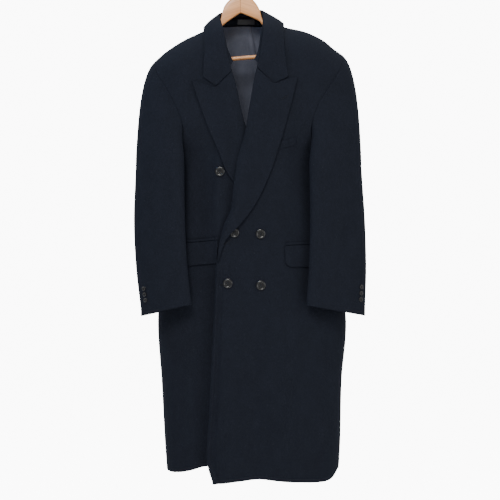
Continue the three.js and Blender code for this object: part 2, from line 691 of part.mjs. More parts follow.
const FOLD_LINE = [
  onFront(-13.5, -315, 4), onFront(-24, -270, 6), new THREE.Vector3(-36, -70, -205),
  new THREE.Vector3(-46, -34, -167), new THREE.Vector3(-50, 2, -146), new THREE.Vector3(-32, 36, -133),
  new THREE.Vector3(15, 50, -127), new THREE.Vector3(56, 38, -127), new THREE.Vector3(73, 4, -136),
  new THREE.Vector3(75, -36, -158), new THREE.Vector3(74, -74, -194), onFront(66, -262, 8),
  onFront(57, -307, 4),
];
const FALL_EDGE = [
  onFront(-86, -329, COLLAR_OUT), onFront(-85, -262, COLLAR_OUT), onFront(-87, -215, COLLAR_OUT),
  new THREE.Vector3(-89, -8, -183), new THREE.Vector3(-86, 28, -186), coat(-52, -198, BACK, COLLAR_OUT + 2),
  coat(15, -190, BACK, COLLAR_OUT + 1), coat(82, -190, BACK, COLLAR_OUT + 3.5),
  new THREE.Vector3(122, 28, -176), new THREE.Vector3(127, -8, -172), onFront(127, -212, COLLAR_OUT),
  onFront(128, -262, COLLAR_OUT), onFront(137, -329, COLLAR_OUT),
];
const NECK_SEAM = [
  onFront(-2, -300, -6), onFront(-20, -262, -6), onFront(-44, -205, -4), new THREE.Vector3(-57, -24, -184),
  new THREE.Vector3(-59, 3, -176), new THREE.Vector3(-32, 34, -156), new THREE.Vector3(15, 49, -144),
  new THREE.Vector3(58, 34, -148), new THREE.Vector3(82, 3, -163), new THREE.Vector3(80, -24, -174),
  onFront(68, -202, -6), onFront(58, -262, -4), onFront(42, -294, -5),
];

function collarGrid(lowLine, highLine, rows, bulge, dips, tuck, short) {
  const low = new THREE.CatmullRomCurve3(lowLine);
  const high = new THREE.CatmullRomCurve3(highLine);
  const neck = NECK_CORE.clone().setZ(0);
  const grid = [];
  for (let i = 0; i <= rows; i += 1) {
    const s = i / rows;
    const row = [];
    for (let j = 0; j <= COLLAR_COLUMNS; j += 1) {
      const t = mix(short, 1 - short, j / COLLAR_COLUMNS);
      const point = high.getPoint(t).lerp(low.getPoint(t), s);
      const away = point.clone().sub(neck).setZ(0).normalize();
      const end = Math.min(1, Math.min(t, 1 - t) * NOTCH_FADE);
      const swell = bulge * Math.sin(Math.PI * s) - tuck * (1 - s);
      point.addScaledVector(away, swell);
      point.z += COLLAR_SLOPE * swell - (dips ? dips[i] * (1 - end) : 0);
      row.push(point);
    }
    grid.push(row);
  }
  return grid;
}

const fall = collarGrid(FALL_EDGE, FOLD_LINE, FALL_ROWS, FALL_BULGE, NOTCH_DIP, 0, 0);
add('collar_fall', wall(fall, CLOTH, NECK_CORE), wool());
const stand = collarGrid(NECK_SEAM, FOLD_LINE, STAND_ROWS, 0, null, STAND_INSET, STAND_SHORT);
add('collar_stand', wall(stand, CLOTH, NECK_CORE), wool());

// Pocket flaps, the jets above them and the breast welt, each laid on its front.

// `rounding` is the radius of the lower corner on the start side.
function laid(corners, rows, columns, out, lifts, rounding) {
  const [topStart, topEnd, bottomStart, bottomEnd] = corners;
  const grid = [];
  for (let i = 0; i <= rows; i += 1) {
    const row = [];
    for (let j = 0; j <= columns; j += 1) {
      const s = j / columns;
      const t = i / rows;
      let x = mix(mix(topStart[0], topEnd[0], s), mix(bottomStart[0], bottomEnd[0], s), t);
      let z = mix(mix(topStart[1], topEnd[1], s), mix(bottomStart[1], bottomEnd[1], s), t);
      if (rounding > 0) {
        const aside = clamp01((bottomStart[0] + rounding - x) / rounding);
        const below = clamp01((bottomStart[1] + rounding - z) / rounding);
        x += rounding * aside * (1 - Math.sqrt(1 - below ** 2 / 2));
        z += rounding * below * (1 - Math.sqrt(1 - aside ** 2 / 2));
      }
      const steep = STEEP.lift * (ease(...STEEP.left, x) + ease(...STEEP.right, x));
      row.push(coat(x, z, FRONT, out(x) + mix(lifts[0], lifts[1], t) + steep));
    }
    grid.push(row);
  }
  return grid;
}

for (const { name, thick, rows, lifts, out, corners, columns = TRIM_COLUMNS, rounding = 0 } of TRIMS) {
  add(name, wall(laid(corners, rows, columns, out, lifts, rounding), thick, BODY_CORE), wool());
}

// What shows inside the neck: the facing below the neck seam, its blank label and the lining.

function insideBack({ top, bottom, rows, columns, depth, thick, pleat }) {
  const grid = [];
  for (let i = 0; i <= rows; i += 1) {
    const t = i / rows;
    const row = [];
    for (let j = 0; j <= columns; j += 1) {
      const s = j / columns;
      const x = mix(mix(top.from, bottom.from, t), mix(top.to, bottom.to, t), s);
      const z = mix(top.z, bottom.z, t) + top.sag * (1 - t) * (2 * s - 1) ** 2;
      const away = (x - PLEAT.x) / PLEAT.width;
      const open = pleat ? ease(PLEAT.top, PLEAT.top - PLEAT.fade, z) : 0;
      const fold = PLEAT.deep * open * Math.exp(-away * away);
      row.push(coat(x, z, BACK, -fold));
    }
    grid.push(row);
  }
  return wall(inset(grid, depth, BODY_CORE), thick, BODY_CORE);
}

add('back_lining', insideBack(INSIDE.lining), satin());
add('neck_facing', insideBack(INSIDE.facing), wool());
add('neck_label', insideBack(INSIDE.label), satin());

function buttonGeometry(size) {
  const { radius, shank, shankRadius, rim } = size;
  const { round, taper, slope } = BUTTON_EDGE;
  const face = shank + size.thick;
  const profile = [
    [0, 0], [shankRadius, 0], [shankRadius, shank], [radius - round, shank], [radius, shank + round],
    [radius - taper, face], [radius - rim, face], [radius - rim - slope, face - size.dish],
    [0, face - size.dish],
  ];
  return new THREE.LatheGeometry(profile.map(([x, y]) => new THREE.Vector2(x, y)), size.sides);
}

// A button stands on the cloth along the cloth's own normal.
function placeButton(name, size, point, normal, clear) {
  const mesh = add(name, buttonGeometry(size), horn());
  mesh.quaternion.setFromUnitVectors(new THREE.Vector3(0, 1, 0), normal);
  mesh.position.copy(point).addScaledVector(normal, clear);
}

for (const { name, x, z, out } of FRONT_BUTTONS) {
  const reach = FRONT_BUTTON.radius;
  const across = coat(x + reach, z, FRONT, out(x)).sub(coat(x - reach, z, FRONT, out(x)));
  const down = coat(x, z - reach, FRONT, out(x)).sub(coat(x, z + reach, FRONT, out(x)));
  placeButton(name, FRONT_BUTTON, coat(x, z, FRONT, out(x)), down.cross(across).normalize(), FRONT_CLEAR);
}

for (const { arm, wearer, angle, clear, heights } of CUFF_BUTTON_ROW) {
  heights.forEach((z, index) => {
    const near = (turn, rise) => sleevePoint(arm, angle + turn, z + rise);
    const across = near(CUFF_REACH.angle, 0).sub(near(-CUFF_REACH.angle, 0));
    const down = near(0, -CUFF_REACH.z).sub(near(0, CUFF_REACH.z));
    const normal = across.cross(down).normalize();
    if (normal.y > 0) normal.negate();
    placeButton('cuff_button_' + wearer + '_' + (index + 1), CUFF_BUTTON, near(0, 0), normal, clear);
  });
}

// Hanger: two arms in one carved piece, a trouser bar and a hook of bent wire.

// Each cross-section is a rounded upright oblong, so the arms read as carved wood.
function carvedBar(sections) {
  const points = [];
  const faces = [];
  for (const { x, top, bottom, thick, y } of sections) {
    for (let k = 0; k < ARM_SIDES; k += 1) {
      const turn = (2 * Math.PI * k) / ARM_SIDES;
      const c = Math.cos(turn);
      const n = Math.sin(turn);
      const ny = Math.sign(c) * Math.abs(c) ** ARM_SQUARENESS;
      const nz = Math.sign(n) * Math.abs(n) ** ARM_SQUARENESS;
      points.push(x, y + (thick / 2) * ny, (top + bottom) / 2 + ((top - bottom) / 2) * nz);
    }
  }
  for (let i = 0; i + 1 < sections.length; i += 1) {
    for (let k = 0; k < ARM_SIDES; k += 1) {
      const a = i * ARM_SIDES + k;
      const b = i * ARM_SIDES + ((k + 1) % ARM_SIDES);
      faces.push(a, b, b + ARM_SIDES, a, b + ARM_SIDES, a + ARM_SIDES);
    }
  }
  const end = (sections.length - 1) * ARM_SIDES;
  for (let k = 1; k + 1 < ARM_SIDES; k += 1) {
    faces.push(0, k + 1, k);
    faces.push(end, end + k, end + k + 1);
  }
  const geometry = new THREE.BufferGeometry();
  geometry.setAttribute('position', new THREE.Float32BufferAttribute(points, 3));
  geometry.setIndex(faces);
  return geometry;
}

function dowel(radius, from, to) {
  const start = new THREE.Vector3(from[0], BAR.y, from[1]);
  const end = new THREE.Vector3(to[0], BAR.y, to[1]);
  const geometry = new THREE.CylinderGeometry(radius, radius, start.distanceTo(end), BAR.sides);
  const along = end.clone().sub(start).normalize();
  const turn = new THREE.Quaternion().setFromUnitVectors(new THREE.Vector3(0, 1, 0), along);
  geometry.applyQuaternion(turn);
  const middle = start.add(end).multiplyScalar(0.5);
  geometry.translate(middle.x, middle.y, middle.z);
  return geometry;
}

function toSolid(source) {
  const bare = source.clone();
  bare.deleteAttribute('normal');
  bare.deleteAttribute('uv');
  const merged = mergeVertices(bare, 1e-4);
  return new wasm.Manifold(new wasm.Mesh({
    numProp: 3,
    vertProperties: new Float32Array(merged.attributes.position.array),
    triVerts: new Uint32Array(merged.index.array),
  }));
}

function toGeometry(solid) {
  const mesh = solid.getMesh();
  const geometry = new THREE.BufferGeometry();
  geometry.setAttribute('position', new THREE.BufferAttribute(new Float32Array(mesh.vertProperties), 3));
  geometry.setIndex(Array.from(mesh.triVerts));
  return geometry;
}

const barSocket = toSolid(dowel(BAR.radius + BAR.play, BAR.from, BAR.to));
add('hanger_arms', toGeometry(toSolid(carvedBar(ARM_SECTIONS)).subtract(barSocket)), beech());
const barFrom = [BAR.from[0] + BAR.inset, BAR.from[1]];
const barTo = [BAR.to[0] - BAR.inset, BAR.to[1]];
add('trouser_bar', dowel(BAR.radius, barFrom, barTo), beech());

// The hook's wire rises from the crown and bends over the rail; its inner top is the origin.
function hookPath() {
  const centre = -HOOK_RADIUS;
  const middle = HOOK_RADIUS + HOOK_WIRE;
  const points = HOOK_STEM.map(({ x, z }) => [x, z]);
  for (let turn = HOOK_START_TURN; turn <= HOOK_END_TURN; turn += HOOK_TURN_STEP) {
    points.push([middle * Math.cos(degrees(turn)), centre + middle * Math.sin(degrees(turn))]);
  }
  return new THREE.CatmullRomCurve3(points.map(([x, z]) => new THREE.Vector3(x, 0, z)));
}

const wireSection = new THREE.Shape();

wireSection.absarc(0, 0, HOOK_WIRE, 0, Math.PI * 2, false);

const wire = { steps: HOOK_STEPS, curveSegments: 4, extrudePath: hookPath() };
add('hook', new THREE.ExtrudeGeometry(wireSection, wire), steel());

export default group;
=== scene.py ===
"""A long double-breasted overcoat on its wooden hanger, built as cloth walls round a fixed frame."""
import json
import math

import bpy
import numpy as np
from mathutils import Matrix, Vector
from mathutils.bvhtree import BVHTree

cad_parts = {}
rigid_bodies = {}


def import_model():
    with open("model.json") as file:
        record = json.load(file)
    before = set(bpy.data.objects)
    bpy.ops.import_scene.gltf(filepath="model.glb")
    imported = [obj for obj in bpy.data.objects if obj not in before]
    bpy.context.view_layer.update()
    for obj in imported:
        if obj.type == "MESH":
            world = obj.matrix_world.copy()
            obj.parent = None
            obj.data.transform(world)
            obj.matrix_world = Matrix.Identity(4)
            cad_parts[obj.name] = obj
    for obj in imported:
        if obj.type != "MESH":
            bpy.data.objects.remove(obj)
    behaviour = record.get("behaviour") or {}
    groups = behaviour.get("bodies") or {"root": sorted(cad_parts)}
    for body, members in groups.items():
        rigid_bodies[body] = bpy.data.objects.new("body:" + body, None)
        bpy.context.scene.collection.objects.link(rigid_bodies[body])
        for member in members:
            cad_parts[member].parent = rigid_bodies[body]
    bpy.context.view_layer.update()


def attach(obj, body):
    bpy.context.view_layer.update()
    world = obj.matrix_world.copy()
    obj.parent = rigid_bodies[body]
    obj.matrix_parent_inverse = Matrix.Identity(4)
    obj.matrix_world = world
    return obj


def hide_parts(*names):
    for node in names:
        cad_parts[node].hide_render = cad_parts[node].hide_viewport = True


bl_info = {
    "name": "Double-breasted overcoat",
    "version": (1, 0, 0),
    "blender": (4, 5, 0),
    "location": "View3D > Sidebar > Overcoat",
    "description": "Builds a long peak-lapel overcoat hung on a wooden hanger",
    "category": "Add Mesh",
}

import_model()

MM = 0.001
FRONT = -1
BACK = 1

# Cloth sizes, in millimetres
CLOTH = 2.4
LINING = 1.2
SEAM_GAP = 0.6
SHOULDER_ROUND = 85
SECTION_POWER = 2.5
UNDERARM_Z = -528
SQUARE_Z = -560
UNDERLAP_SINK = 12
OVERLAP_RISE = 1
CENTRE_BACK = 34
HEM_LEVEL = -1372
BODY_CORE = (35, 0, -900)

SHOULDER = {
    "x": [-222, -190, -142, -88, -62, -36, 0, 15, 30, 62, 88, 126, 188, 234, 261, 288],
    "z": [-277, -249, -218, -192, -176, -140, -108, -105, -106, -128, -165, -181, -196, -218, -240, -259],
}
BODY = {
    "z": [-1420, -1300, -1134, -972, -824, -700, -570, -528, -492, -430, -340, -250, -100],
    "left": [-184, -193, -202, -212, -198, -180, -166, -171, -206, -255, -270, -275, -250],
    "right": [273, 280, 284, 296, 272, 246, 228, 233, 272, 330, 345, 345, 330],
    "front": [118, 118, 116, 112, 108, 106, 105, 105, 106, 106, 100, 84, 62],
    "back": [122, 120, 116, 110, 104, 101, 98, 98, 98, 98, 92, 80, 62],
}

# Folds: x, lean, width, proud, top, bottom
FRONT_FOLDS = (
    (-58, 0, 16, 5, -520, -860), (-100, 0, 20, -6, -480, -900), (-130, 18, 14, 5, -1000, -1420),
    (-158, 0, 16, -5, -960, -1420), (-25, -10, 22, 6, -900, -1420), (52, 8, 30, -7, -880, -1420),
    (135, 10, 30, 6, -860, -1420), (212, 0, 22, -6, -940, -1420), (160, 0, 18, -5, -330, -620),
)
BACK_FOLDS = (
    (-120, -10, 30, 8, -520, -1420), (-55, -4, 24, -7, -760, -1420),
    (110, 6, 26, -8, -700, -1420), (190, 12, 30, 8, -540, -1420),
)
FOLD_FADE = 130
SHOULDER_DROP = 150

# Panels: how columns and rows are crowded, and where the shoulder's ridge fades out of a panel
ARM_CROWDING = 1.5
EDGE_BAND = 0.94
EDGE_COLUMNS = {FRONT: 27, BACK: 9}
CROWD_FROM = 0.55
RISE_FADE = 0.6
RISE_START = 0.25
HEM_PASSES = 4

# Where the underlap sinks, its upright fold beside the flap, its recess lower down, and where
# the overlap rises
UNDERLAP_REACH = (-150, -72)
UNDERLAP_STEP = 6.5
UNDERLAP_RECESS = 9
OVERLAP_REACH = (200, 120)

# The rolled front edge: its strip and dip by height, distance and width, its turn by height and width
ROLL_STRIP = (4.4, 6.5, 5)
ROLL_DIP = (2.0, 18, 5.5)
ROLL_EDGE = (3.0, 2.2)
ROLL_START = {"right": -800, "left": -640}
ROLL_FADE = 50

ARMHOLE = {
    "left": {
        FRONT: [(-222, -277), (-209, -317), (-188, -348), (-166, -389), (-147, -432), (-139, -465),
                (-142, -495), (-152, -515), (-163, -525)],
        BACK: [(-222, -277), (-216, -317), (-206, -348), (-194, -389), (-183, -432), (-177, -465),
               (-174, -495), (-172, -515), (-172, -524)],
    },
    "right": {
        FRONT: [(288, -259), (276, -300), (256, -335), (232, -372), (213, -405), (201, -440),
                (197, -478), (206, -510), (222, -524)],
        BACK: [(288, -259), (282, -300), (274, -335), (264, -372), (253, -405), (245, -440),
               (239, -478), (236, -510), (234, -524)],
    },
}
FRONT_EDGE = {
    "left": {
        "z": [-1420, -1000, -804, -610, -530, -464, -425, -347, -316, -262, -205, -176],
        "x": [101, 103, 104, 64, 42, 24, 13, -4, -12, -30, -50, -62],
    },
    "right": {
        "z": [-1386, -1356, -1326, -1210, -1061, -906, -832, -804, -770, -715, -679, -622, -546, -478,
              -426, -374, -338, -305, -250, -190, -165],
        "x": [-62, -72, -77, -71, -64, -57, -54, -49, -42, -27, -11, -4, 7, 26, 35, 44, 50, 56, 68, 81, 90],
    },
}
HEM = {
    "front_right": {"x": [-200, -170, -143, -108, -76, 102], "z": [-1372, -1373, -1368, -1358, -1351, -1347]},
    "front_left": {"x": [-62, -2, 58, 107, 167, 220, 254, 276],
                   "z": [-1393, -1386, -1380, -1384, -1389, -1394, -1388, -1362]},
    "back": {"x": [-200, 0, 150, 276], "z": [-1372, -1366, -1370, -1372]},
}
NECK = {"left": (-62, -176), "right": (90, -166), "back": (15, -141)}

SLEEVE = {
    "left": {
        "z": [-940, -824, -700, -560], "outer_x": [-250, -265, -271, -266], "outer_y": [-76, -56, -40, -30],
        "inner_x": [-113, -127, -134, -137], "inner_y": [-128, -120, -112, -106], "deep": [46, 50, 58, 64],
    },
    "right": {
        "z": [-940, -824, -700, -560], "outer_x": [339, 344, 341, 332], "outer_y": [-76, -56, -40, -30],
        "inner_x": [181, 190, 194, 193], "inner_y": [-128, -120, -112, -106], "deep": [46, 50, 58, 64],
    },
}
CUFF = {"left": (-957, -924), "right": (-956, -926)}
UNDERARM_TURN = 262
FRONT_SEAM_TURN = 186
ARMHOLE_GAP = {FRONT: 0.5, BACK: -0.8}
GAP_FADE = ((4, 30), (UNDERARM_TURN - 5, UNDERARM_TURN - 40))
UNDERARM_EASE = 2.2
EASE_SPANS = ((150, UNDERARM_TURN), (330, 280))
RIDGE_TURN = 8
RIDGE_POWER = 1.5
CAP_REACH = 124
CAP_DROP = 102
CAP_ARRIVE = 0.9
SLEEVE_MIDDLE_Z = -600.0
SLEEVE_GAP = 0.15
SLEEVE_CREASES = {
    "left": (
        (-640, 112, 40, 34, -1.0, 0.5), (-700, 84, 60, 26, 1.3, 0.3), (-752, 120, 90, 22, -1.2, 0.1),
        (-860, 96, 60, 30, 0.8, -0.2), (-650, 250, 40, 40, 1.8, 0.2), (-740, 270, 50, 40, -1.8, 0.2),
        (-850, 255, 50, 40, 1.5, 0.1),
    ),
    "right": (
        (-630, 86, 46, 34, 1.0, 0.4), (-700, 118, 70, 26, -1.3, 0.2), (-780, 88, 90, 24, 1.1, 0.1),
        (-872, 112, 60, 30, -0.8, -0.2), (-660, 260, 40, 40, -1.8, 0.2), (-752, 245, 50, 40, 1.8, 0.2),
        (-846, 262, 50, 40, -1.5, 0.1),
    ),
}

LAPEL = {
    "right": {
        "roll": [(-13, -316), (-4, -347), (13, -425), (24, -464), (42, -530), (63, -610), (84, -700),
                 (101, -790)],
        "edge": [(-116, -339), (-108, -365), (-78, -451), (-47, -525), (-26, -577), (-4, -611), (36, -690),
                 (92, -794)],
    },
    "left": {
        "roll": [(56, -308), (50, -338), (35, -426), (26, -478), (7, -546), (-4, -622), (-11, -679),
                 (-27, -715), (-42, -770), (-50, -812)],
        "edge": [(162, -330), (147, -392), (130, -456), (108, -530), (87, -590), (56, -656), (28, -697),
                 (4, -725), (-25, -757), (-46, -816)],
    },
}
LAPEL_LIFT = {"s": [0, 0.2, 0.4, 0.6, 0.8, 1], "lift": [1, 4.8, 5.6, 5.2, 4.6, 4.2]}
GORGE_DIP = {"s": [0, 0.2, 0.4, 0.6, 0.8, 1], "dip": [0, 16, 31, 21, 9, 0]}
GORGE_FADE = 0.2
OVER_BUTTON = (-4, -738, 28, 5)
CURL = 3.0
LAPEL_EDGE = 0.5

# Collar and pockets
COLLAR_OUT = CLOTH + 3
NOTCH_DIP = {"s": [0, 0.25, 0.5, 0.75, 1], "dip": [0, 15, 30, 17, 0]}
FALL_BULGE = 5
STAND_INSET = 4.4
STAND_SHORT = 0.03
NOTCH_FADE = 12
NECK_CORE = (15, 10, -260)
STEEP_LIFT = 3


def ease(start, stop, value):
    t = np.clip((np.asarray(value, float) - start) / (stop - start), 0, 1)
    return t * t * (3 - 2 * t)


def mix(a, b, t):
    return a + (b - a) * t


def read(table, by, at, column):
    """A smooth curve through a table's columns, held level past its ends."""
    keys = np.asarray(table[by], float)
    values = np.asarray(table[column], float)
    at = np.asarray(at, float)
    slopes = np.empty_like(values)
    slopes[1:-1] = (values[2:] - values[:-2]) / (keys[2:] - keys[:-2])
    slopes[0] = (values[1] - values[0]) / (keys[1] - keys[0])
    slopes[-1] = (values[-1] - values[-2]) / (keys[-1] - keys[-2])
    held = np.clip(at, keys[0], keys[-1])
    i = np.clip(np.searchsorted(keys, held, side="right") - 1, 0, len(keys) - 2)
    span = keys[i + 1] - keys[i]
    t = (held - keys[i]) / span
    t2, t3 = t * t, t * t * t
    return ((2 * t3 - 3 * t2 + 1) * values[i] + (t3 - 2 * t2 + t) * span * slopes[i]
            + (3 * t2 - 2 * t3) * values[i + 1] + (t3 - t2) * span * slopes[i + 1])


def curve(points, at, by_length=False):
    """Points on a centripetal spline through a list of points, at shares of it from 0 to 1."""
    points = np.asarray(points, float)
    at = np.atleast_1d(np.asarray(at, float))
    if by_length:
        steps = np.linspace(0, 1, 201)
        dense = curve(points, steps)
        length = np.concatenate(([0], np.cumsum(np.linalg.norm(np.diff(dense, axis=0), axis=1))))
        return curve(points, np.interp(at * length[-1], length, steps))
    count = len(points)
    padded = np.vstack((2 * points[0] - points[1], points, 2 * points[-1] - points[-2]))
    place = at * (count - 1)
    i = np.clip(np.floor(place).astype(int), 0, count - 2)
    w = (place - i)[:, None]
    p0, p1, p2, p3 = (padded[i + k] for k in range(4))
    d0, d1, d2 = (np.sqrt(np.linalg.norm(b - a, axis=1))[:, None] for a, b in ((p0, p1), (p1, p2), (p2, p3)))
    t1 = ((p1 - p0) / d0 - (p2 - p0) / (d0 + d1) + (p2 - p1) / d1) * d1
    t2 = ((p2 - p1) / d1 - (p3 - p1) / (d1 + d2) + (p3 - p2) / d2) * d1
    return (p1 + t1 * w + (-3 * p1 + 3 * p2 - 2 * t1 - t2) * w ** 2 + (2 * p1 - 2 * p2 + t1 + t2) * w ** 3)


def fold_height(folds, x, z):
    total = np.zeros(np.broadcast(x, z).shape)
    for place, lean, width, proud, top, bottom in folds:
        fade = ease(top, top - FOLD_FADE, z) * ease(bottom, bottom + FOLD_FADE, z)
        reach = ease(top, top - 2 * FOLD_FADE, z) if bottom < -1400 else fade
        away = (x - place - lean * (top - z) / (top - bottom)) / width
        total = total + proud * reach * np.exp(-away * away)
    return total


def coat(x, z, side, out=0.0):
    """Points on the coat's outer face, at x and z on its front or back, moved out by out."""
    x, z = np.broadcast_arrays(np.asarray(x, float), np.asarray(z, float))
    out = np.asarray(out, float)
    left = read(BODY, "z", z, "left")
    right = read(BODY, "z", z, "right")
    depth = read(BODY, "z", z, "front" if side == FRONT else "back")
    across = np.minimum(1, np.abs((x - (left + right) / 2) / ((right - left) / 2)))
    bow = np.sqrt(np.maximum(0, 1 - across ** SECTION_POWER))
    drop = np.clip((read(SHOULDER, "x", x, "z") - z) / SHOULDER_ROUND, 0, 1)
    cap = np.sqrt(1 - (1 - drop) ** 2)
    folds = fold_height(FRONT_FOLDS if side == FRONT else BACK_FOLDS, x, z) * np.minimum(1, 2 * bow)
    moved = np.where(out < 0, out * cap, out)
    y = side * (depth * bow * cap + folds * bow + ripple(x, z, side) * bow + moved)
    return np.stack((x, y, z), axis=-1)


def ripple(x, z, side):
    """Small uneven waves of hanging wool, less than a millimetre high."""
    shift = 1.7 if side == FRONT else 4.1
    broad = np.sin(x / 31 + shift + 0.6 * np.sin(z / 140)) * np.sin(z / 190 + shift)
    narrow = np.sin(x / 13.7 + z / 77 + shift) * np.sin(z / 63 - x / 41)
    return 0.55 * broad + 0.22 * narrow


def underlap_out(x, z=0.0):
    """The underlap sinks behind the overlap; beside the flap it stands in one upright fold."""
    step = UNDERLAP_STEP * ease(-60, -51, x) * ease(-14, -36, x) * ease(-490, -560, z) * ease(-860, -800, z)
    shade = UNDERLAP_RECESS * ease(-118, -76, x) * ease(-820, -900, z)
    return -UNDERLAP_SINK * ease(*UNDERLAP_REACH, x) + step - shade


def overlap_out(x, z=0.0):
    return OVERLAP_RISE * ease(*OVERLAP_REACH, x) + 0.0 * z


OUT = {"left": underlap_out, "right": overlap_out}


def spaced(count, near=0.0, far=0.0):
    """Shares from 0 to 1 with two extra lines close to each end, which keep that edge crisp."""
    inner = np.linspace(near * 2.5, 1 - far * 2.5, count)
    start = [0, near] if near else []
    end = [1 - far, 1] if far else []
    return np.concatenate((start, inner, end))


def armhole_point(arm, side, share):
    side_x = float(read(BODY, "z", UNDERARM_Z, arm))
    return curve(ARMHOLE[arm][side] + [(side_x, UNDERARM_Z)], share, by_length=True)


def seam_rise(arm, x):
    """How far the shoulder's ridge stands above the straight line from shoulder point to neck."""
    point_x, point_z = ARMHOLE[arm][FRONT][0]
    share = (x - point_x) / (NECK[arm][0] - point_x)
    rise = np.maximum(0, read(SHOULDER, "x", x, "z") - mix(point_z, NECK[arm][1], share))
    return np.where((share > 0) & (share < 1), rise, 0)


def front_inner(arm, share):
    z = mix(NECK[arm][1], UNDERARM_Z, share)
    return read(FRONT_EDGE[arm], "z", z, "x"), z


def back_inner(arm, share):
    middle = CENTRE_BACK + (-1 if arm == "left" else 1) * SEAM_GAP / 2
    turn = np.minimum(1, share * 3)
    x = mix(NECK[arm][0], middle, turn)
    round_z = mix(NECK[arm][1], NECK["back"][1], np.sin(turn * math.pi / 2))
    down_z = mix(NECK["back"][1], UNDERARM_Z, np.clip((share - 1 / 3) * 1.5, 0, 1))
    return x, np.where(share * 3 <= 1, round_z, down_z)


def panel_grid(arm, side, hem, rows=(48, 84)):
    """One body panel: rows run from the shoulder seam to the hem, columns from the side in."""
    middle = CENTRE_BACK + (-1 if arm == "left" else 1) * SEAM_GAP / 2
    arm_part = spaced(rows[0], 0.004) ** ARM_CROWDING
    skirt = spaced(rows[1], 0, 0.0022)[1:]
    near_edge = np.linspace(EDGE_BAND, 1, EDGE_COLUMNS[side])
    s = np.concatenate((spaced(40, 0.006)[:-1] * EDGE_BAND, near_edge))[None, :]
    hole = armhole_point(arm, side, arm_part)
    inner_x, inner_z = (front_inner if side == FRONT else back_inner)(arm, arm_part)
    spread = mix(s, 1 - np.cos(s * math.pi / 2), ease(CROWD_FROM, 1, arm_part)[:, None])
    x = mix(hole[:, :1], inner_x[:, None], spread)
    z = mix(hole[:, 1:], inner_z[:, None], spread)
    near_seam = mix(1, ease(0, RISE_START, s), ease(0, 0.03, arm_part)[:, None])
    z = z + seam_rise(arm, x) * (1 - ease(0, RISE_FADE, arm_part)[:, None]) * near_seam
    z = np.minimum(z, read(SHOULDER, "x", x, "z") - SHOULDER_DROP * arm_part[:, None])
    skirt = skirt[:, None]
    low_spread = 1 - np.cos(s * math.pi / 2)
    low_z = mix(UNDERARM_Z, HEM_LEVEL, skirt) + 0 * s
    for _ in range(HEM_PASSES):
        inner = read(FRONT_EDGE[arm], "z", low_z, "x") if side == FRONT else middle + 0 * low_z
        low_x = mix(read(BODY, "z", low_z, arm), inner, low_spread)
        low_z = mix(UNDERARM_Z, read(HEM[hem], "x", low_x, "z"), skirt)
    x = np.vstack((x, low_x))
    z = np.vstack((z, low_z))
    out = OUT[arm](x, z) + edge_roll(arm, x, z) if side == FRONT else 0 * x
    grid = coat(x, z, side, out)
    grid[0, :, 1] += side * SEAM_GAP / 2
    grid[1:, 0, 1] += side * SEAM_GAP / 2
    return grid


def edge_roll(arm, x, z):
    """The front edge below the lapel: a rolled strip with a faint dip behind it."""
    away = np.abs(x - read(FRONT_EDGE[arm], "z", z, "x"))
    start = ROLL_START[arm]
    (high, at, wide), (low, dip_at, dip_wide) = ROLL_STRIP, ROLL_DIP
    strip = high * np.exp(-((away - at) / wide) ** 2) - low * np.exp(-((away - dip_at) / dip_wide) ** 2)
    turned_in = ROLL_EDGE[0] * np.exp(-(away / ROLL_EDGE[1]) ** 2)
    return (strip - turned_in) * ease(start, start - ROLL_FADE, z)


def sleeve_point(arm, angle, z):
    """Points of a sleeve's level section; the angle runs from its outer edge over the front."""
    table = SLEEVE[arm]
    outer = np.stack((read(table, "z", z, "outer_x"), read(table, "z", z, "outer_y")), axis=-1)
    inner = np.stack((read(table, "z", z, "inner_x"), read(table, "z", z, "inner_y")), axis=-1)
    middle = (outer + inner) / 2
    half = outer - middle
    out = np.stack((half[..., 1], -half[..., 0]), axis=-1)
    out /= np.linalg.norm(out, axis=-1, keepdims=True)
    out *= np.where(out[..., 1:] > 0, -1, 1)
    deep = read(table, "z", z, "deep")[..., None] / 2
    turn = np.radians(angle)[..., None]
    level = middle + half * np.cos(turn) + out * deep * np.sin(turn)
    return np.concatenate((level, np.broadcast_to(z, level.shape[:-1])[..., None]), axis=-1)


def armhole_loop(arm, turned):
    """The armhole, from the shoulder point down the front, under the arm and up the back."""
    angle = (turned + 360) % 360
    on_front = angle <= UNDERARM_TURN
    share = np.where(on_front, angle / UNDERARM_TURN, (360 - angle) / (360 - UNDERARM_TURN))
    share = share * np.minimum(np.minimum(angle, 360 - angle) / RIDGE_TURN, 1) ** RIDGE_POWER
    front, back = (armhole_point(arm, side, share) for side in (FRONT, BACK))
    on_coat = (coat(front[:, 0], front[:, 1], FRONT), coat(back[:, 0], back[:, 1], BACK))
    points = np.where(on_front[:, None], *on_coat)
    outward = -1 if arm == "left" else 1
    gap = mix(ARMHOLE_GAP[BACK], ARMHOLE_GAP[FRONT], ease(*GAP_FADE[0], angle) * ease(*GAP_FADE[1], angle))
    room = UNDERARM_EASE * ease(*EASE_SPANS[0], angle) * ease(*EASE_SPANS[1], angle)
    points[:, 0] += outward * (gap + room)
    return points


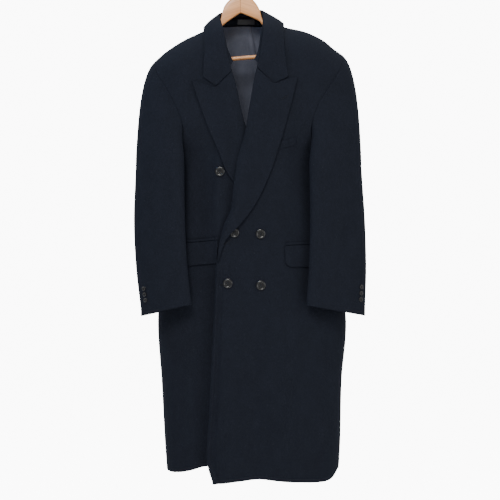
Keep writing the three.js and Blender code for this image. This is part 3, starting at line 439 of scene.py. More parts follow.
def sleeve_grid(arm, start, stop, rows=(22, 44), columns=30):
    """One half of a sleeve, with a ghost column on each side that only steers its normals."""
    outward = -1 if arm == "left" else 1
    loop_top = armhole_loop(arm, np.array([0.0]))[0, 2]
    s = spaced(columns, 0.012, 0.012)
    s = np.concatenate(([-s[3]], s, [1 + s[3]]))
    angle = mix(start, stop, s)
    begin = armhole_loop(arm, angle)
    end = sleeve_point(arm, angle, np.full(angle.shape, float(SQUARE_Z)))
    span = np.linalg.norm(end - begin, axis=1)
    high = np.clip((begin[:, 2] - UNDERARM_Z) / (loop_top - UNDERARM_Z), 0, 1)
    leave = np.stack((outward * CAP_REACH * high ** 2, 0 * high, -mix(span, CAP_DROP, high)), axis=1)
    arrive = np.stack((0 * span, 0 * span, -span * CAP_ARRIVE), axis=1)
    t = spaced(rows[0], 0.01)[:-1, None, None]
    t2, t3 = t * t, t * t * t
    upper = (begin * (2 * t3 - 3 * t2 + 1) + leave * (t3 - 2 * t2 + t) + end * (3 * t2 - 2 * t3)
             + arrive * (t3 - t2))
    share = (1 - np.cos(np.radians(angle))) / 2
    cuff = mix(CUFF[arm][0], CUFF[arm][1], share)
    down = spaced(rows[1], 0, 0.004)[:, None]
    z = mix(SQUARE_Z, cuff[None, :], down)
    lower = sleeve_point(arm, np.broadcast_to(angle, z.shape), z)
    return sleeve_creases(arm, np.concatenate((upper, lower)), angle)


def sleeve_creases(arm, grid, angle):
    """Soft drag lines: a break at the elbow's front and short folds above the cuff."""
    z = grid[..., 2]
    turn = np.broadcast_to(angle, z.shape)
    lean = 1 if arm == "left" else -1
    height = np.zeros_like(z)
    for level, at, tall, wide, proud, slope in SLEEVE_CREASES[arm]:
        down = (z - level - slope * lean * (turn - at)) / tall
        around = (turn - at) / wide
        height = height + proud * np.exp(-down * down - around * around)
    height = height + 0.5 * np.sin(turn / 17 + z / 90) * np.sin(z / 47 + turn / 60)
    middle = (sleeve_point(arm, np.zeros_like(z), z) + sleeve_point(arm, np.full_like(z, 180.0), z)) / 2
    away = grid - middle
    away[..., 2] = 0
    away /= np.linalg.norm(away, axis=-1, keepdims=True)
    calm = ease(-470, -600, z) * ease(0, 26, np.minimum(turn % 360, 360 - turn % 360))
    calm = calm * ease(0, 20, np.abs(turn - FRONT_SEAM_TURN)) * ease(-955, -900, z)
    return grid + away * (height * calm)[..., None]


# Creases: level, angle, height, reach in degrees, proud, slope


def normals(grid, core):
    """Unit normals of a grid of points, all looking away from core."""
    turned = np.cross(np.gradient(grid, axis=0), np.gradient(grid, axis=1))
    turned /= np.maximum(np.linalg.norm(turned, axis=-1, keepdims=True), 1e-9)
    i, j = grid.shape[0] // 2, grid.shape[1] // 2
    facing = np.dot(turned[i, j], grid[i, j] - np.asarray(core, float))
    return turned if facing > 0 else -turned


def wall(grid, thickness, core, trim=None, ghosts=0, rim=0.5):
    """Outer and inner grids of a cloth wall with rounded edges, as vertices and faces."""
    turned = normals(grid, core)
    if ghosts:
        grid, turned = grid[:, ghosts:-ghosts].copy(), turned[:, ghosts:-ghosts]
    inner = grid - turned * thickness
    if trim is not None:
        inner = trim(inner)
    rows, columns = grid.shape[:2]
    border = [(0, j) for j in range(columns)] + [(i, columns - 1) for i in range(1, rows)]
    border += [(rows - 1, j) for j in range(columns - 2, -1, -1)] + [(i, 0) for i in range(rows - 2, 0, -1)]
    at = np.array(border)
    nearer = np.stack((np.clip(at[:, 0], 1, rows - 2), np.clip(at[:, 1], 1, columns - 2)), axis=1)
    edge = grid[at[:, 0], at[:, 1]] - grid[nearer[:, 0], nearer[:, 1]]
    edge /= np.maximum(np.linalg.norm(edge, axis=1, keepdims=True), 1e-9)
    bulge = thickness * rim * 0.5
    grid = grid.copy()
    grid[at[:, 0], at[:, 1]] -= edge * bulge
    inner[at[:, 0], at[:, 1]] -= edge * bulge
    count = rows * columns
    numbers = np.arange(count).reshape(rows, columns)
    outer_loop = numbers[at[:, 0], at[:, 1]]
    vertices = [grid.reshape(-1, 3), inner.reshape(-1, 3)]
    loops = [outer_loop]
    first, last = grid[at[:, 0], at[:, 1]], inner[at[:, 0], at[:, 1]]
    for k in (1, 2, 3):
        share = (1 - math.cos(math.pi * k / 4)) / 2
        vertices.append(mix(first, last, share) + edge * bulge * math.sin(math.pi * k / 4))
        loops.append(2 * count + (k - 1) * len(border) + np.arange(len(border)))
    loops.append(outer_loop + count)
    corners = (numbers[:-1, :-1], numbers[1:, :-1], numbers[1:, 1:], numbers[:-1, 1:])
    quads = np.stack(corners, axis=-1).reshape(-1, 4)
    faces = [quads, quads[:, ::-1] + count]
    for a, b in zip(loops[:-1], loops[1:]):
        faces.append(np.stack((a, np.roll(a, -1), np.roll(b, -1), b), axis=-1))
    middle = grid[rows // 2, columns // 2]
    across = np.cross(grid[rows // 2 + 1, columns // 2] - middle, grid[rows // 2, columns // 2 + 1] - middle)
    faces = np.vstack(faces)
    if np.dot(across, middle - np.asarray(core, float)) < 0:
        faces = faces[:, ::-1]
    return np.vstack(vertices), faces


def mesh_object(name, vertices, faces, material, smooth=True):
    """A mesh object in the scene's main collection, from millimetre points."""
    mesh = bpy.data.meshes.new(name)
    points = np.asarray(vertices, float) * MM
    mesh.from_pydata([tuple(p) for p in points], [], [tuple(int(v) for v in f) for f in faces])
    mesh.polygons.foreach_set("use_smooth", [smooth] * len(mesh.polygons))
    mesh.materials.append(material)
    mesh.validate()
    mesh.update()
    obj = bpy.data.objects.new(name, mesh)
    bpy.context.scene.collection.objects.link(obj)
    return obj


def within_seams(arm, side):
    """Keeps a panel's inner face on its own side of the shoulder, side and centre-back seams."""
    def trim(points):
        points = points.copy()
        points[..., 1] = side * np.maximum(side * points[..., 1], SEAM_GAP / 2)
        if side == BACK and arm == "left":
            points[..., 0] = np.minimum(points[..., 0], CENTRE_BACK - SEAM_GAP / 2)
        if side == BACK and arm == "right":
            points[..., 0] = np.maximum(points[..., 0], CENTRE_BACK + SEAM_GAP / 2)
        return points
    return trim


def lapel_grid(wearer, rows=84, columns=26):
    """A lapel from its free edge to its roll line, where it curls round into the front."""
    table = LAPEL[wearer]
    out = OUT["left" if wearer == "right" else "right"]
    t = spaced(rows, 0.003, 0.004)
    s = spaced(columns, 0.008, 0.012)[None, :]
    a = curve(table["roll"], t, by_length=True)
    b = curve(table["edge"], t, by_length=True)
    fade = (1 - ease(0, GORGE_FADE, t))[:, None]
    x = mix(a[:, :1], b[:, :1], s)
    z = mix(a[:, 1:], b[:, 1:], s) - read(GORGE_DIP, "s", s, "dip") * fade
    bx, bz, reach, proud = OVER_BUTTON
    over = proud * np.exp(-((x - bx) ** 2 + (z - bz) ** 2) / reach ** 2) if wearer == "left" else 0
    low = ease(0.75, 1, t)[:, None]
    lift = mix(read(LAPEL_LIFT, "s", s, "lift") + CLOTH, LAPEL_LIFT["lift"][0] + CLOTH + 1, low) + over
    roll = bpy.context.scene.overcoat.roll_depth / MM * np.exp(-((s - 0.12) / 0.14) ** 2)
    roll = roll * (1 - low) * ease(0, 0.12, t)[:, None]
    wave = 0.5 * np.sin(t * 19)[:, None] * s * s + 0.35 * np.sin(t[:, None] * 31 + s * 5) * s
    edge = LAPEL_EDGE * np.exp(-((s - 0.965) / 0.03) ** 2)
    lift = lift + roll + wave * (1 - low) + edge
    turn = np.radians((105, 84, 63, 42, 21))[None, :]
    size = (CURL * (1 - ease(0.86, 1, t)))[:, None]
    ahead = (a - b) / np.maximum(np.linalg.norm(a - b, axis=1, keepdims=True), 1e-6)
    x = np.hstack((x[:, :1] + ahead[:, :1] * size * np.sin(turn), x))
    z = np.hstack((z[:, :1] + ahead[:, 1:] * size * np.sin(turn), z))
    lift = np.hstack((lift[:, :1] - size * (1 - np.cos(turn)), lift))
    return coat(x, z, FRONT, out(x, z) + lift)


def on_front(x, z, out):
    lift = underlap_out(x) if x < 0 else overlap_out(x)
    return tuple(coat(x, z, FRONT, float(lift) + out))


def on_back(x, z, out):
    return tuple(coat(x, z, BACK, out))


def collar_lines():
    fold_line = [on_front(-13.5, -315, 4), on_front(-24, -270, 6), (-36, -70, -205), (-46, -34, -167),
                 (-50, 2, -146), (-32, 36, -133), (15, 50, -127), (56, 38, -127), (73, 4, -136),
                 (75, -36, -158), (74, -74, -194), on_front(66, -262, 8), on_front(57, -307, 4)]
    fall_edge = [on_front(-86, -329, COLLAR_OUT), on_front(-85, -262, COLLAR_OUT),
                 on_front(-87, -215, COLLAR_OUT), (-89, -8, -183), (-86, 28, -186),
                 on_back(-52, -198, COLLAR_OUT + 2),
                 on_back(15, -190, COLLAR_OUT + 1), on_back(82, -190, COLLAR_OUT + 3.5), (122, 28, -176),
                 (127, -8, -172), on_front(127, -212, COLLAR_OUT), on_front(128, -262, COLLAR_OUT),
                 on_front(137, -329, COLLAR_OUT)]
    neck_seam = [on_front(-2, -300, -6), on_front(-20, -262, -6), on_front(-44, -205, -4), (-57, -24, -184),
                 (-59, 3, -176), (-32, 34, -156), (15, 49, -144), (58, 34, -148), (82, 3, -163),
                 (80, -24, -174), on_front(68, -202, -6), on_front(58, -262, -4), on_front(42, -294, -5)]
    return fold_line, fall_edge, neck_seam


def collar_grid(low_line, high_line, rows, bulge, dips, tuck, short, columns=120):
    """The fall or the stand, from its low line up to the fold; the fall curls over into the stand."""
    t = mix(short, 1 - short, spaced(columns, 0.0035, 0.0035))
    s = spaced(rows, 0.02, 0.02)[:, None]
    low, high = curve(low_line, t), curve(high_line, t)
    points = mix(high[None], low[None], s[..., None])
    away = points - np.array((15, 10, 0))
    away[..., 2] = 0
    away /= np.linalg.norm(away, axis=-1, keepdims=True)
    end = np.minimum(1, np.minimum(t, 1 - t) * NOTCH_FADE)[None, :]
    swell = bulge * np.sin(math.pi * s) * mix(0.25, 1, end) - tuck * (1 - s)
    points += away * swell[..., None]
    points[..., 2] += 0.6 * swell
    if not dips:
        return points
    points[..., 2] -= read(NOTCH_DIP, "s", s, "dip") * (1 - end)
    wave = 0.5 * np.sin(t * 43) * s * s
    points += away * (wave + LAPEL_EDGE * np.exp(-((s - 0.96) / 0.03) ** 2))[..., None]
    along = points[0] - points[2]
    along /= np.linalg.norm(along, axis=-1, keepdims=True)
    out = away[0] - along * np.sum(away[0] * along, axis=-1, keepdims=True)
    out /= np.linalg.norm(out, axis=-1, keepdims=True)
    curled = [points[0] - out * 2 * CURL - along * 2.2]
    for turn in np.radians((180, 150, 120, 90, 60, 30)):
        curled.append(points[0] + along * CURL * math.sin(turn) - out * CURL * (1 - math.cos(turn)))
    return np.concatenate((np.array(curled), points))


def laid(corners, rows, columns, out, lifts, rounding=0):
    """A strip laid on a front from its top start, top end, bottom start and bottom end; rounding
    is the radius of its lower start corner."""
    s = spaced(columns, 0.006, 0.006)[None, :]
    t = spaced(rows, 0.02, 0.02)[:, None]
    (ax, az), (bx, bz), (cx, cz), (dx, dz) = corners
    x = mix(mix(ax, bx, s), mix(cx, dx, s), t)
    z = mix(mix(az, bz, s), mix(cz, dz, s), t)
    if rounding:
        aside = np.clip((cx + rounding - x) / rounding, 0, 1)
        below = np.clip((cz + rounding - z) / rounding, 0, 1)
        x, z = (x + rounding * (aside - aside * np.sqrt(1 - below ** 2 / 2)),
                z + rounding * (below - below * np.sqrt(1 - aside ** 2 / 2)))
    steep = STEEP_LIFT * (ease(-130, -172, x) + ease(195, 240, x))
    return coat(x, z, FRONT, out(x, z) + mix(lifts[0], lifts[1], t) + steep)


def inside_back(top, bottom, rows, columns, depth, pleat=None, wave=0.0):
    """A piece inside the back; top and bottom hold z, start x, end x and, for the top, its sag."""
    s = spaced(columns, 0.008, 0.008)[None, :]
    t = spaced(rows, 0.008, 0.008)[:, None]
    x = mix(mix(top[1], bottom[1], t), mix(top[2], bottom[2], t), s)
    z = mix(top[0], bottom[0], t) + top[3] * (1 - t) * (2 * s - 1) ** 2
    fold = 0.0
    if pleat:
        start, middle, deep, wide = pleat
        away = x - middle - 18 * ease(start, start - 160, z)
        crease = 1.5 * (1 + np.tanh(away / 0.9)) * np.exp(-(np.maximum(away, 0) / 16) ** 2)
        fold = deep * 0.6 * np.exp(-(away / wide) ** 2) * ease(start, start - 60, z) - crease
    creases = wave * (np.sin(x / 17 + z / 60) * np.sin(z / 41 - x / 29) + 0.5 * np.sin(x / 9 - z / 33))
    grid = coat(x, z, BACK, -fold + creases)
    return grid - normals(grid, BODY_CORE) * depth


# Materials

WOOL_DARK = (0.0050, 0.0058, 0.0086, 1)
WOOL_NAP = (0.0115, 0.0134, 0.0196, 1)
SATIN_DARK = (0.046, 0.051, 0.073, 1)
SATIN_LIGHT = (0.072, 0.078, 0.106, 1)
HORN_DARK = (0.0016, 0.0016, 0.002, 1)
HORN_VEIN = (0.006, 0.0055, 0.005, 1)
WOOD_LIGHT = (0.620, 0.285, 0.100, 1)
WOOD_DARK = (0.400, 0.160, 0.050, 1)
MITRE = 11

COLOR, FLOAT = "NodeSocketColor", "NodeSocketFloat"


def new_group(name, inputs, outputs):
    """An empty shader group with its sockets; inputs hold a name, a kind and a default value."""
    group = bpy.data.node_groups.new(name, "ShaderNodeTree")
    for label, kind, value in inputs:
        group.interface.new_socket(label, in_out="INPUT", socket_type=kind).default_value = value
    for label, kind in outputs:
        group.interface.new_socket(label, in_out="OUTPUT", socket_type=kind)
    return group, group.nodes.new("NodeGroupInput"), group.nodes.new("NodeGroupOutput")


def math_node(tree, operation, a, b=None):
    node = tree.nodes.new("ShaderNodeMath")
    node.operation = operation
    for socket, value in zip(node.inputs, (a, b)):
        if value is None:
            continue
        if isinstance(value, (int, float)):
            socket.default_value = value
        else:
            tree.links.new(value, socket)
    return node.outputs[0]


def noise(tree, vector, scale, detail=3.0, roughness=0.55):
    node = tree.nodes.new("ShaderNodeTexNoise")
    node.inputs["Detail"].default_value = detail
    node.inputs["Roughness"].default_value = roughness
    tree.links.new(vector, node.inputs["Vector"])
    if isinstance(scale, (int, float)):
        node.inputs["Scale"].default_value = scale
    else:
        tree.links.new(scale, node.inputs["Scale"])
    return node.outputs["Fac"]


def stretched(tree, vector, scale):
    node = tree.nodes.new("ShaderNodeMapping")
    node.inputs["Scale"].default_value = scale
    tree.links.new(vector, node.inputs["Vector"])
    return node.outputs["Vector"]


def between(tree, value, low, high, start=0.0, stop=1.0):
    """The value's place between low and high, smoothed, from start to stop."""
    node = tree.nodes.new("ShaderNodeMapRange")
    node.interpolation_type = "SMOOTHSTEP"
    tree.links.new(value, node.inputs["Value"])
    for label, number in zip(("From Min", "From Max", "To Min", "To Max"), (low, high, start, stop)):
        node.inputs[label].default_value = number
    return node.outputs["Result"]


def blended(tree, fac, a, b):
    node = tree.nodes.new("ShaderNodeMix")
    node.data_type = "RGBA"
    tree.links.new(fac, node.inputs["Factor"])
    for socket, value in ((node.inputs["A"], a), (node.inputs["B"], b)):
        if isinstance(value, tuple):
            socket.default_value = value
        else:
            tree.links.new(value, socket)
    return node.outputs["Result"]


def coordinates(tree):
    return tree.nodes.new("ShaderNodeTexCoord").outputs["Object"]


def wool_group():
    """Brushed wool: fibres laid downwards, soft clouds and a few paler specks of lint."""
    tree, given, put = new_group("Brushed wool", [
        ("Ground", COLOR, WOOL_DARK), ("Nap", COLOR, WOOL_NAP), ("Fibre Scale", FLOAT, 900.0),
        ("Cloud Scale", FLOAT, 26.0)], [("Color", COLOR), ("Roughness", FLOAT), ("Height", FLOAT)])
    place = coordinates(tree)
    fibres = noise(tree, stretched(tree, place, (1, 1, 0.45)), given.outputs["Fibre Scale"], 4, 0.65)
    clouds = noise(tree, stretched(tree, place, (1, 1, 0.6)), given.outputs["Cloud Scale"], 4, 0.6)
    lint = between(tree, noise(tree, place, 420.0, 1, 0.4), 0.735, 0.79)
    nap = math_node(tree, "MULTIPLY_ADD", between(tree, fibres, 0.34, 0.68), 0.75)
    nap.node.inputs[2].default_value = 0.0
    cloudy = math_node(tree, "MULTIPLY", between(tree, clouds, 0.2, 0.8), 0.22)
    fac = math_node(tree, "MINIMUM", math_node(tree, "ADD", nap, cloudy), 1.0)
    color = blended(tree, fac, given.outputs["Ground"], given.outputs["Nap"])
    color = blended(tree, math_node(tree, "MULTIPLY", lint, 0.35), color, (0.045, 0.050, 0.060, 1))
    tree.links.new(color, put.inputs["Color"])
    tree.links.new(between(tree, clouds, 0.25, 0.75, 0.82, 0.95), put.inputs["Roughness"])
    height = math_node(tree, "ADD", fibres, math_node(tree, "MULTIPLY", clouds, 0.6))
    tree.links.new(height, put.inputs["Height"])
    return tree


def satin_group():
    """Satin lining: long fine floats with a soft watered change of tone."""
    tree, given, put = new_group("Satin lining", [
        ("Dark", COLOR, SATIN_DARK), ("Light", COLOR, SATIN_LIGHT), ("Float Scale", FLOAT, 1400.0)],
        [("Color", COLOR), ("Roughness", FLOAT), ("Height", FLOAT)])
    place = coordinates(tree)
    floats = noise(tree, stretched(tree, place, (1, 1, 0.12)), given.outputs["Float Scale"], 2, 0.5)
    water = noise(tree, stretched(tree, place, (1, 1, 0.4)), 34.0, 3, 0.5)
    fac = math_node(tree, "MULTIPLY", math_node(tree, "ADD", floats, water), 0.5)
    fac = between(tree, fac, 0.35, 0.65)
    tree.links.new(blended(tree, fac, given.outputs["Dark"], given.outputs["Light"]), put.inputs["Color"])
    tree.links.new(between(tree, floats, 0.3, 0.7, 0.44, 0.58), put.inputs["Roughness"])
    height = math_node(tree, "ADD", math_node(tree, "MULTIPLY", floats, 0.3), water)
    tree.links.new(height, put.inputs["Height"])
    return tree


def horn_group():
    """Dark horn with faint veins and cloudy wear."""
    tree, given, put = new_group("Dark horn", [
        ("Ground", COLOR, HORN_DARK), ("Vein", COLOR, HORN_VEIN), ("Vein Scale", FLOAT, 95.0)],
        [("Color", COLOR), ("Roughness", FLOAT), ("Height", FLOAT)])
    place = coordinates(tree)
    veins = noise(tree, stretched(tree, place, (1, 1, 2.6)), given.outputs["Vein Scale"], 5, 0.6)
    wear = noise(tree, place, 600.0, 3, 0.6)
    fac = between(tree, veins, 0.5, 0.68)
    tree.links.new(blended(tree, fac, given.outputs["Ground"], given.outputs["Vein"]), put.inputs["Color"])
    tree.links.new(between(tree, wear, 0.3, 0.7, 0.16, 0.26), put.inputs["Roughness"])
    tree.links.new(wear, put.inputs["Height"])
    return tree


def wood_group():
    """Beech whose grain runs along both arms and meets in a mitre at the middle."""
    tree, given, put = new_group("Hanger wood", [
        ("Light", COLOR, WOOD_LIGHT), ("Dark", COLOR, WOOD_DARK), ("Grain Scale", FLOAT, 230.0),
        ("Slope", FLOAT, 0.32)], [("Color", COLOR), ("Roughness", FLOAT), ("Height", FLOAT)])
    parts = tree.nodes.new("ShaderNodeSeparateXYZ")
    tree.links.new(coordinates(tree), parts.inputs[0])
    away = math_node(tree, "ABSOLUTE", math_node(tree, "SUBTRACT", parts.outputs["X"], MITRE * MM))
    slope = math_node(tree, "MULTIPLY", away, given.outputs["Slope"])
    across = math_node(tree, "ADD", parts.outputs["Z"], slope)
    side = math_node(tree, "GREATER_THAN", parts.outputs["X"], MITRE * MM)
    joined = tree.nodes.new("ShaderNodeCombineXYZ")
    tree.links.new(math_node(tree, "ADD", math_node(tree, "MULTIPLY", away, 0.06), side), joined.inputs["X"])
    tree.links.new(parts.outputs["Y"], joined.inputs["Y"])
    tree.links.new(across, joined.inputs["Z"])
    grain = noise(tree, joined.outputs[0], given.outputs["Grain Scale"], 5, 0.62)
    bands = noise(tree, joined.outputs[0], 52.0, 2, 0.5)
    flecks = noise(tree, stretched(tree, joined.outputs[0], (6, 1, 1)), 900.0, 2, 0.5)
    rays = between(tree, flecks, 0.62, 0.75)
    fac = math_node(tree, "MULTIPLY", math_node(tree, "ADD", between(tree, grain, 0.38, 0.66),
                                              between(tree, bands, 0.35, 0.7)), 0.42)
    color = blended(tree, fac, given.outputs["Light"], given.outputs["Dark"])
    color = blended(tree, math_node(tree, "MULTIPLY", rays, 0.35), color, given.outputs["Dark"])
    seam = between(tree, away, 0.0004, 0.0008, 1, 0)
    color = blended(tree, math_node(tree, "MULTIPLY", seam, 0.6), color, (0.16, 0.07, 0.025, 1))
    tree.links.new(color, put.inputs["Color"])
    tree.links.new(between(tree, grain, 0.3, 0.7, 0.34, 0.46), put.inputs["Roughness"])
    tree.links.new(grain, put.inputs["Height"])
    return tree


def steel_group():
    """Bright drawn wire with fine scratches along it."""
    tree, given, put = new_group("Drawn steel", [
        ("Tone", COLOR, (0.60, 0.61, 0.63, 1)), ("Scratch Scale", FLOAT, 1500.0)],
        [("Color", COLOR), ("Roughness", FLOAT), ("Height", FLOAT)])
    place = stretched(tree, coordinates(tree), (1, 1, 0.2))
    scratches = noise(tree, place, given.outputs["Scratch Scale"], 3, 0.6)
    tree.links.new(blended(tree, math_node(tree, "MULTIPLY", scratches, 0.25), given.outputs["Tone"],
                           (0.36, 0.36, 0.37, 1)), put.inputs["Color"])
    tree.links.new(between(tree, scratches, 0.3, 0.7, 0.16, 0.3), put.inputs["Roughness"])
    tree.links.new(scratches, put.inputs["Height"])
    return tree


GROUPS = {"Brushed wool": wool_group, "Satin lining": satin_group, "Dark horn": horn_group,
          "Hanger wood": wood_group, "Drawn steel": steel_group}


def material(name, group_name, bump, colors=None, sockets=None):
    """A Principled material fed by one of the groups; sockets are set on the shader itself."""
    if name in bpy.data.materials:
        return bpy.data.materials[name]
    made = bpy.data.materials.new(name)
    made.use_nodes = True
    tree = made.node_tree
    shader = tree.nodes["Principled BSDF"]
    node = tree.nodes.new("ShaderNodeGroup")
    node.node_tree = bpy.data.node_groups.get(group_name) or GROUPS[group_name]()
    for label, value in (colors or {}).items():
        node.inputs[label].default_value = value
    tree.links.new(node.outputs["Color"], shader.inputs["Base Color"])
    tree.links.new(node.outputs["Roughness"], shader.inputs["Roughness"])
    raised = tree.nodes.new("ShaderNodeBump")
    raised.inputs["Strength"].default_value = bump[0]
    raised.inputs["Distance"].default_value = bump[1] * MM
    tree.links.new(node.outputs["Height"], raised.inputs["Height"])
    tree.links.new(raised.outputs["Normal"], shader.inputs["Normal"])
    for label, value in (sockets or {}).items():
        shader.inputs[label].default_value = value
    return made


def wool():
    return material("Navy wool", "Brushed wool", (0.5, 0.5), sockets={
        "Sheen Weight": bpy.context.scene.overcoat.sheen, "Sheen Roughness": 0.5,
        "Sheen Tint": (0.50, 0.68, 1.0, 1), "Specular IOR Level": 0.03})


def thread():
    return material("Navy thread", "Brushed wool", (0.4, 0.2), colors={
        "Ground": (0.006, 0.007, 0.011, 1), "Nap": (0.014, 0.016, 0.023, 1)}, sockets={
        "Sheen Weight": 0.01, "Specular IOR Level": 0.15})


def satin():
    return material("Grey satin", "Satin lining", (0.35, 0.35), sockets={
        "Specular IOR Level": 0.25, "Anisotropic": 0.5})


def label_satin():
    return material("Label satin", "Satin lining", (0.3, 0.2), colors={
        "Dark": (0.012, 0.013, 0.016, 1), "Light": (0.022, 0.023, 0.028, 1)}, sockets={
        "Specular IOR Level": 0.5})


def horn():
    return material("Black horn", "Dark horn", (0.15, 0.05), sockets={
        "Coat Weight": 0.3, "Coat Roughness": 0.08, "Specular IOR Level": 0.3})


def wood():
    return material("Beech", "Hanger wood", (0.2, 0.15), sockets={"Coat Weight": 0.25, "Coat Roughness": 0.2})


def steel():
    return material("Steel wire", "Drawn steel", (0.1, 0.05), sockets={"Metallic": 1.0})


# Pieces

PANELS = {
    "front_right": ("left", FRONT, "front_right"), "front_left": ("right", FRONT, "front_left"),
    "back_right": ("left", BACK, "back"), "back_left": ("right", BACK, "back"),
}
# The cut of each sheet: width, length and area, in metres
CUT = {
    "front_right": (0.37, 1.24, 0.343), "front_left": (0.43, 1.29, 0.395),
    "back_right": (0.33, 1.28, 0.324), "back_left": (0.33, 1.28, 0.333),
    "top_sleeve_right": (0.24, 0.69, 0.103), "under_sleeve_right": (0.20, 0.69, 0.098),
    "top_sleeve_left": (0.26, 0.71, 0.111), "under_sleeve_left": (0.21, 0.71, 0.105),
    "lapel_right": (0.125, 0.50, 0.0331), "lapel_left": (0.13, 0.54, 0.0365),
    "collar_fall": (0.72, 0.10, 0.0442), "collar_stand": (0.55, 0.03, 0.0079),
    "flap_right": (0.137, 0.062, 0.0082), "flap_left": (0.127, 0.062, 0.0073),
    "jet_right": (0.137, 0.010, 0.0012), "jet_left": (0.126, 0.010, 0.0010),
    "breast_welt": (0.082, 0.023, 0.0017), "back_lining": (0.29, 0.33, 0.0667),
    "neck_facing": (0.118, 0.024, 0.0020), "neck_label": (0.05, 0.0195, 0.00093),
}
BACKS = ("cloth_back_left", "cloth_back_right")


def cloth(node, grid, thickness, core, finish, slot, held, rests_on, **how):
    """A wall of cloth in place of a CAD node; its cut is read from CUT but not put on the piece."""
    points, faces = wall(grid, thickness, core, **how)
    obj = finished(mesh_object("cloth_" + node, points, faces, finish), node, slot)
    width, length, area = CUT[node]
    return obj


def finished(obj, node, slot):
    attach(obj, "root")
    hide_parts(node)
    return obj


def build_panels():
    for node, (arm, side, hem) in PANELS.items():
        grid = panel_grid(arm, side, hem)
        cloth(node, grid, CLOTH, BODY_CORE, wool(), "wool", "hung", ("hanger_arms",),
              trim=within_seams(arm, side), rim=0.6)


def build_sleeves():
    for arm, wearer in (("left", "right"), ("right", "left")):
        level = np.array([SLEEVE_MIDDLE_Z])
        outer, inner = (sleeve_point(arm, np.full(1, turn), level) for turn in (0.0, 180.0))
        middle = (outer + inner)[0] / 2
        halves = (("top", SLEEVE_GAP, FRONT_SEAM_TURN - SLEEVE_GAP),
                  ("under", FRONT_SEAM_TURN + SLEEVE_GAP, 360 - SLEEVE_GAP))
        for part, start, stop in halves:
            cloth(part + "_sleeve_" + wearer, sleeve_grid(arm, start, stop), CLOTH, middle, wool(), "wool",
                  "hung", ("hanger_arms",), ghosts=1, rim=0.6)


def build_lapels():
    for wearer in ("right", "left"):
        cloth("lapel_" + wearer, lapel_grid(wearer), CLOTH, BODY_CORE, wool(), "wool", "folded",
              ("cloth_front_" + wearer,), rim=0.9)


def build_collar():
    fold_line, fall_edge, neck_seam = collar_lines()
    fall = collar_grid(fall_edge, fold_line, 26, FALL_BULGE, True, 0, 0)
    stand = collar_grid(neck_seam, fold_line, 14, 0, False, STAND_INSET, STAND_SHORT)
    for node, grid in (("collar_fall", fall), ("collar_stand", stand)):
        cloth(node, grid, CLOTH, NECK_CORE, wool(), "wool", "folded", BACKS, rim=0.9)


# Trims: arm, thickness, lift at the top and bottom, and the corners in the order that laid takes
TRIMS = {
    "flap_right": ("left", 2.4, (4.8, 5.6), ((-172, -768), (-47, -757.4), (-170, -829), (-50, -817.4))),
    "flap_left": ("right", 2.4, (3.6, 5.0), ((127, -772), (240, -766), (128, -827), (240, -827))),
    "jet_right": ("left", 1.6, (4.6, 4.2), ((-172, -760), (-47, -749), (-172, -767), (-47, -756.4))),
    "jet_left": ("right", 1.6, (2.8, 3.0), ((129, -763), (240, -757), (129, -770.5), (240, -764.5))),
    "breast_welt": ("right", 1.2, (1.3, 1.3), ((82, -510), (158, -486), (82, -530), (158, -508))),
}
FLAP_ROUNDING = 18
FACING_THICK = 1.8
LABEL_THICK = 0.6


def build_trims():
    for node, (arm, thick, lifts, corners) in TRIMS.items():
        rows = 22 if "flap" in node else 6
        front = "cloth_front_right" if arm == "left" else "cloth_front_left"
        rounding = FLAP_ROUNDING if node == "flap_left" else 0
        grid = laid(corners, rows, 44, OUT[arm], lifts, rounding)
        cloth(node, grid, thick, BODY_CORE, wool(), "wool", "laid", (front,), rim=0.9)


def build_lining():
    pleat = (-165, 38, 6, 7)
    lining = inside_back((-165, -44, 80, -4), (-500, -120, 170), 90, 140, 9, pleat, 0.5)
    facing = inside_back((-144, -24, 56, -8), (-163, -38, 74), 8, 40, 6.2)
    label = inside_back((-146, 0, 52, 0), (-160, 0, 52), 8, 20, 8.4)
    for node, grid, thick, finish, slot in (("back_lining", lining, LINING, satin(), "lining"),
                                            ("neck_facing", facing, FACING_THICK, wool(), "wool"),
                                            ("neck_label", label, LABEL_THICK, label_satin(), "label")):
        cloth(node, grid, thick, BODY_CORE, finish, slot, "laid", BACKS, rim=0.8)


FRONT_BUTTON = {"radius": 12.4, "thick": 3.6, "rim": 2.6, "dish": 1.2, "shank": 1.6, "shank_radius": 3,
                "clear": 0.15, "hole": 1.25, "spread": 2.7}
CUFF_BUTTON = {"radius": 6.2, "thick": 2.6, "rim": 1.6, "dish": 0.8, "shank": 1, "shank_radius": 1.8,
               "clear": -0.45, "hole": 0.75, "spread": 1.6}
# Buttons: x, z and spin on the fronts; arm, angle round the sleeve and heights on the cuffs
FRONT_BUTTONS = {
    "button_underlap": (-42, -578, -6.5), "button_upper_inner": (-4, -738, 12),
    "button_upper_outer": (64, -741, -8), "button_lower_inner": (-21, -870, 5),
    "button_lower_outer": (65, -875, 20),
}
CUFF_ROWS = {"right": ("left", 50, (-884, -899, -914)), "left": ("right", 42, (-880, -896, -912))}
AROUND = 72
FACE_RINGS = 34
MIDDLE_RADIUS = 0.12
HOLE_DEPTH = 1.5


